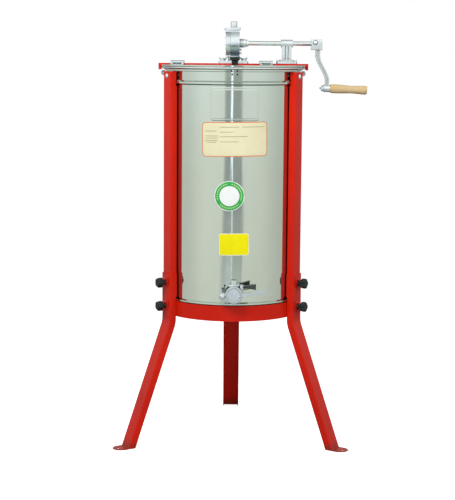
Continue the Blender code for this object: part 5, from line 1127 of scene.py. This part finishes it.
# What mirrors see of the studio. Directions are in degrees, to the right of the front or up from
# level. Each row of four maps a span of directions to a span of light, of width or of share.
WALL_SIDES = (42.0, 92.0, 0.95, 0.74)
WALL_BEHIND = (95.0, 135.0, 1.0, 0.66)
WALL_SLANT = (-60.0, 60.0, 1.03, 0.94)
WALL_HORIZON = (-5.6, -0.8, 1.0, 1.13)
WALL_SKY = (2.0, 11.0, 1.0, 1.16)
WALL_ZENITH = (42.0, 80.0, 1.0, 0.5)
WALL_FOOT = (-24.0, -10.5, 0.26, 1.0)
WALL_COOLING = (-5.0, -1.5, 0.0, 1.0)
GAP_MIDDLE = 1.0
GAP_HALF = (-8.0, -4.0, 17.6, 13.6)
GAP_FLARE = (-9.3, -7.8, 4.0, 0.0)
GAP_SOFT_EDGE = (-3.4, 2.6, 0.0, 1.0)
GAP_TOP = (0.6, 5.0, 0.0, 1.0)
GAP_LIGHT = (-9.4, -7.2, 0.78, 0.44)
DARK_EDGE = (0.2, 3.0, 0.16, 0.0)
DARK_EDGE_FOOT = (-9.5, -9.0, 0.0, 1.0)
JOINT_MIDDLE = 1.4
JOINT_SHADE = (0.3, 1.3, 0.34, 0.0)
JOINT_TOP = (-7.2, -5.6, 1.0, 0.0)
JOINT_FOOT = (-9.4, -9.1, 0.0, 1.0)
STREAK_LEAN = (-9.6, -8.0, -13.0, -1.6)
STREAK_WIDTH = (0.6, 1.9, 1.0, 0.0)
STREAK_FOOT = (-9.6, -9.2, 0.0, 1.0)
STREAK_LIGHT = (-9.0, -7.8, 0.85, 1.75)
EVEN_SKY = (-25.0, 65.0, 0.30, 0.38)
LOW_WALL_TINT = (0.99, 0.985, 0.925)
HIGH_WALL_TINT = (0.975, 1.0, 0.99)
GAP_TINT = (0.965, 1.0, 1.0)
STREAK_TINT = (0.90, 1.0, 1.16)


def studio_walls(tree, degrees, away):
    """The soft walls, dimmer towards the sides and behind."""
    round_wall = times(tree, spread(tree, away, *WALL_SIDES, True), spread(tree, away, *WALL_BEHIND, True))
    return times(tree, round_wall, spread(tree, degrees, *WALL_SLANT))


def studio_gap(tree, degrees, rise, away):
    """The walls with a grey gap opposite the drum's middle, wider and paler low down. Gives their
    light, the share of wall at a direction, and the share of the gap's height."""
    half = plus(tree, spread(tree, rise, *GAP_HALF), spread(tree, rise, *GAP_FLARE))
    past = minus(tree, away, half)
    above = spread(tree, rise, *GAP_TOP, True)
    below = minus(tree, 1.0, above)
    wall = math_node(tree, "MAXIMUM", spread(tree, past, *GAP_SOFT_EDGE, True), above)
    grey = times(tree, minus(tree, 1.0, wall), spread(tree, rise, *GAP_LIGHT, True))
    light = plus(tree, times(tree, wall, studio_walls(tree, degrees, away)), grey)
    edge = spread(tree, math_node(tree, "ABSOLUTE", past), *DARK_EDGE, True)
    edge = times(tree, edge, spread(tree, rise, *DARK_EDGE_FOOT, True), below)
    # A thin dark joint runs down the gap's right side in its lower part.
    from_joint = distance(tree, minus(tree, degrees, JOINT_MIDDLE), half)
    ends = (spread(tree, rise, *JOINT_TOP, True), spread(tree, rise, *JOINT_FOOT))
    joint = times(tree, spread(tree, from_joint, *JOINT_SHADE, True), *ends)
    return minus(tree, minus(tree, light, edge), joint), wall, below


def make_world():
    """A plain white surround. Mirrors see a soft studio in it and matt surfaces an even sky."""
    world = bpy.data.worlds.new("studio")
    bpy.context.scene.world = world
    world.use_nodes = True
    tree = world.node_tree
    tree.nodes.clear()
    x, y, z = separate(tree, node(tree, "ShaderNodeTexCoord").outputs["Generated"])
    degrees = times(tree, math_node(tree, "ARCTAN2", x, times(tree, y, -1.0)), math.degrees(1.0))
    rise = times(tree, math_node(tree, "ARCSINE", z), math.degrees(1.0))
    light, wall, below = studio_gap(tree, degrees, rise, distance(tree, degrees, GAP_MIDDLE))
    # A narrow light in the gap, leaning to the left low down.
    off = distance(tree, degrees, spread(tree, rise, *STREAK_LEAN))
    streak = times(tree, spread(tree, off, *STREAK_WIDTH, True), below)
    glow = times(tree, streak, spread(tree, rise, *STREAK_FOOT, True), spread(tree, rise, *STREAK_LIGHT))
    lit = plus(tree, times(tree, light, spread(tree, rise, *WALL_HORIZON, True)), glow)
    high = times(tree, spread(tree, rise, *WALL_SKY, True), spread(tree, rise, *WALL_ZENITH, True))
    mirrored = times(tree, lit, high, spread(tree, rise, *WALL_FOOT, True))
    wall_tint = colour_mix(tree, spread(tree, rise, *WALL_COOLING, True), LOW_WALL_TINT, HIGH_WALL_TINT)
    tint = colour_mix(tree, streak, colour_mix(tree, wall, GAP_TINT, wall_tint), STREAK_TINT)
    path = node(tree, "ShaderNodeLightPath")
    levels = {0: path.outputs["Is Glossy Ray"], 2: spread(tree, rise, *EVEN_SKY), 3: mirrored}
    level = node(tree, "ShaderNodeMix", levels, data_type="FLOAT").outputs[0]
    studio = node(tree, "ShaderNodeBackground", {"Color": tint, "Strength": level}).outputs[0]
    plain = node(tree, "ShaderNodeBackground", {"Color": (1.0, 1.0, 1.0, 1.0), "Strength": 1.0}).outputs[0]
    mixed = node(tree, "ShaderNodeMixShader", {0: path.outputs["Is Camera Ray"], 1: studio, 2: plain})
    output = tree.nodes.new("ShaderNodeOutputWorld")
    tree.links.new(mixed.outputs[0], output.inputs[0])


# Where each lamp stands and aims, in metres from the drum's axis, its width and its watts.
LAMPS = (
    ("key", (-0.7, -1.6, 2.15), (0.0, 0.0, 0.95), 0.9, 39.0),
    ("fill", (2.2, -1.5, 1.8), (0.0, 0.0, 1.05), 1.2, 26.0),
    ("low", (-0.2, -3.0, 0.4), (0.0, 0.0, 0.5), 1.2, 10.0),
    ("overhead", (0.0, 0.2, 3.4), (0.0, 0.2, 0.0), 2.2, 10.0),
)


def make_light(name, origin, target, size, power):
    data = bpy.data.lights.new(name, "AREA")
    data.shape = "DISK"
    data.size = size
    data.energy = power
    made = new_object(name, data)
    start = AXIS + Vector(origin)
    aim = (AXIS + Vector(target)) - start
    made.matrix_world = Matrix.Translation(start) @ aim.to_track_quat("-Z", "Y").to_matrix().to_4x4()
    made.visible_glossy = False
    made.visible_camera = False


FLOOR_RADIUS = 2200
FLOOR_DEPTH = 30
FLOOR_SEEN = (0.94, 0.94, 0.94), (0.92, 0.92, 0.92)
FLOOR_MATT = (0.40, 0.40, 0.40)
FLOOR_MIRRORED = (0.22, 0.24, 0.25)
FLOOR_GLOW = 0.8


def make_floor():
    """A floor that is white to look at and sends less light back up, as a dull studio floor does."""
    finish, tree = shader("pale_floor", Metallic=0.0, IOR=1.3, Specular_IOR_Level=0.1)
    path = node(tree, "ShaderNodeLightPath")
    pale = colour_mix(tree, noise(tree, 1.3, 3.0, 0.5), *FLOOR_SEEN)
    unseen = colour_mix(tree, path.outputs["Is Glossy Ray"], FLOOR_MATT, FLOOR_MIRRORED)
    wire(
        finish,
        Base_Color=colour_mix(tree, path.outputs["Is Camera Ray"], unseen, pale),
        Roughness=0.8,
        Emission_Color=(1.0, 1.0, 1.0, 1.0),
        Emission_Strength=times(tree, path.outputs["Is Camera Ray"], FLOOR_GLOW),
    )
    mesh = mesh_of("floor", *prism(polygon(FLOOR_RADIUS, 128), -FLOOR_DEPTH, 0, Matrix.Translation(AXIS)))
    floor = new_object("floor", mesh)
    mesh.materials.append(finish)


# All of it

make_camera()
make_world()
for lamp in LAMPS:
    make_light(*lamp)
make_floor()
bpy.context.scene.view_settings.view_transform = "Standard"
bpy.context.scene.view_settings.look = "None"

dress_nodes()
dress_panel_and_label()
dress_stickers()
dress_rivets()
dress_leg_knobs()
dress_lid_knobs()
dress_grip()
dress_wing_bolts()
dress_gearbox()
dress_shaft()
dress_rim()
dress_flanges()
dress_seam()
dress_upright_bolts()
dress_gate()

bpy.context.view_layer.update()
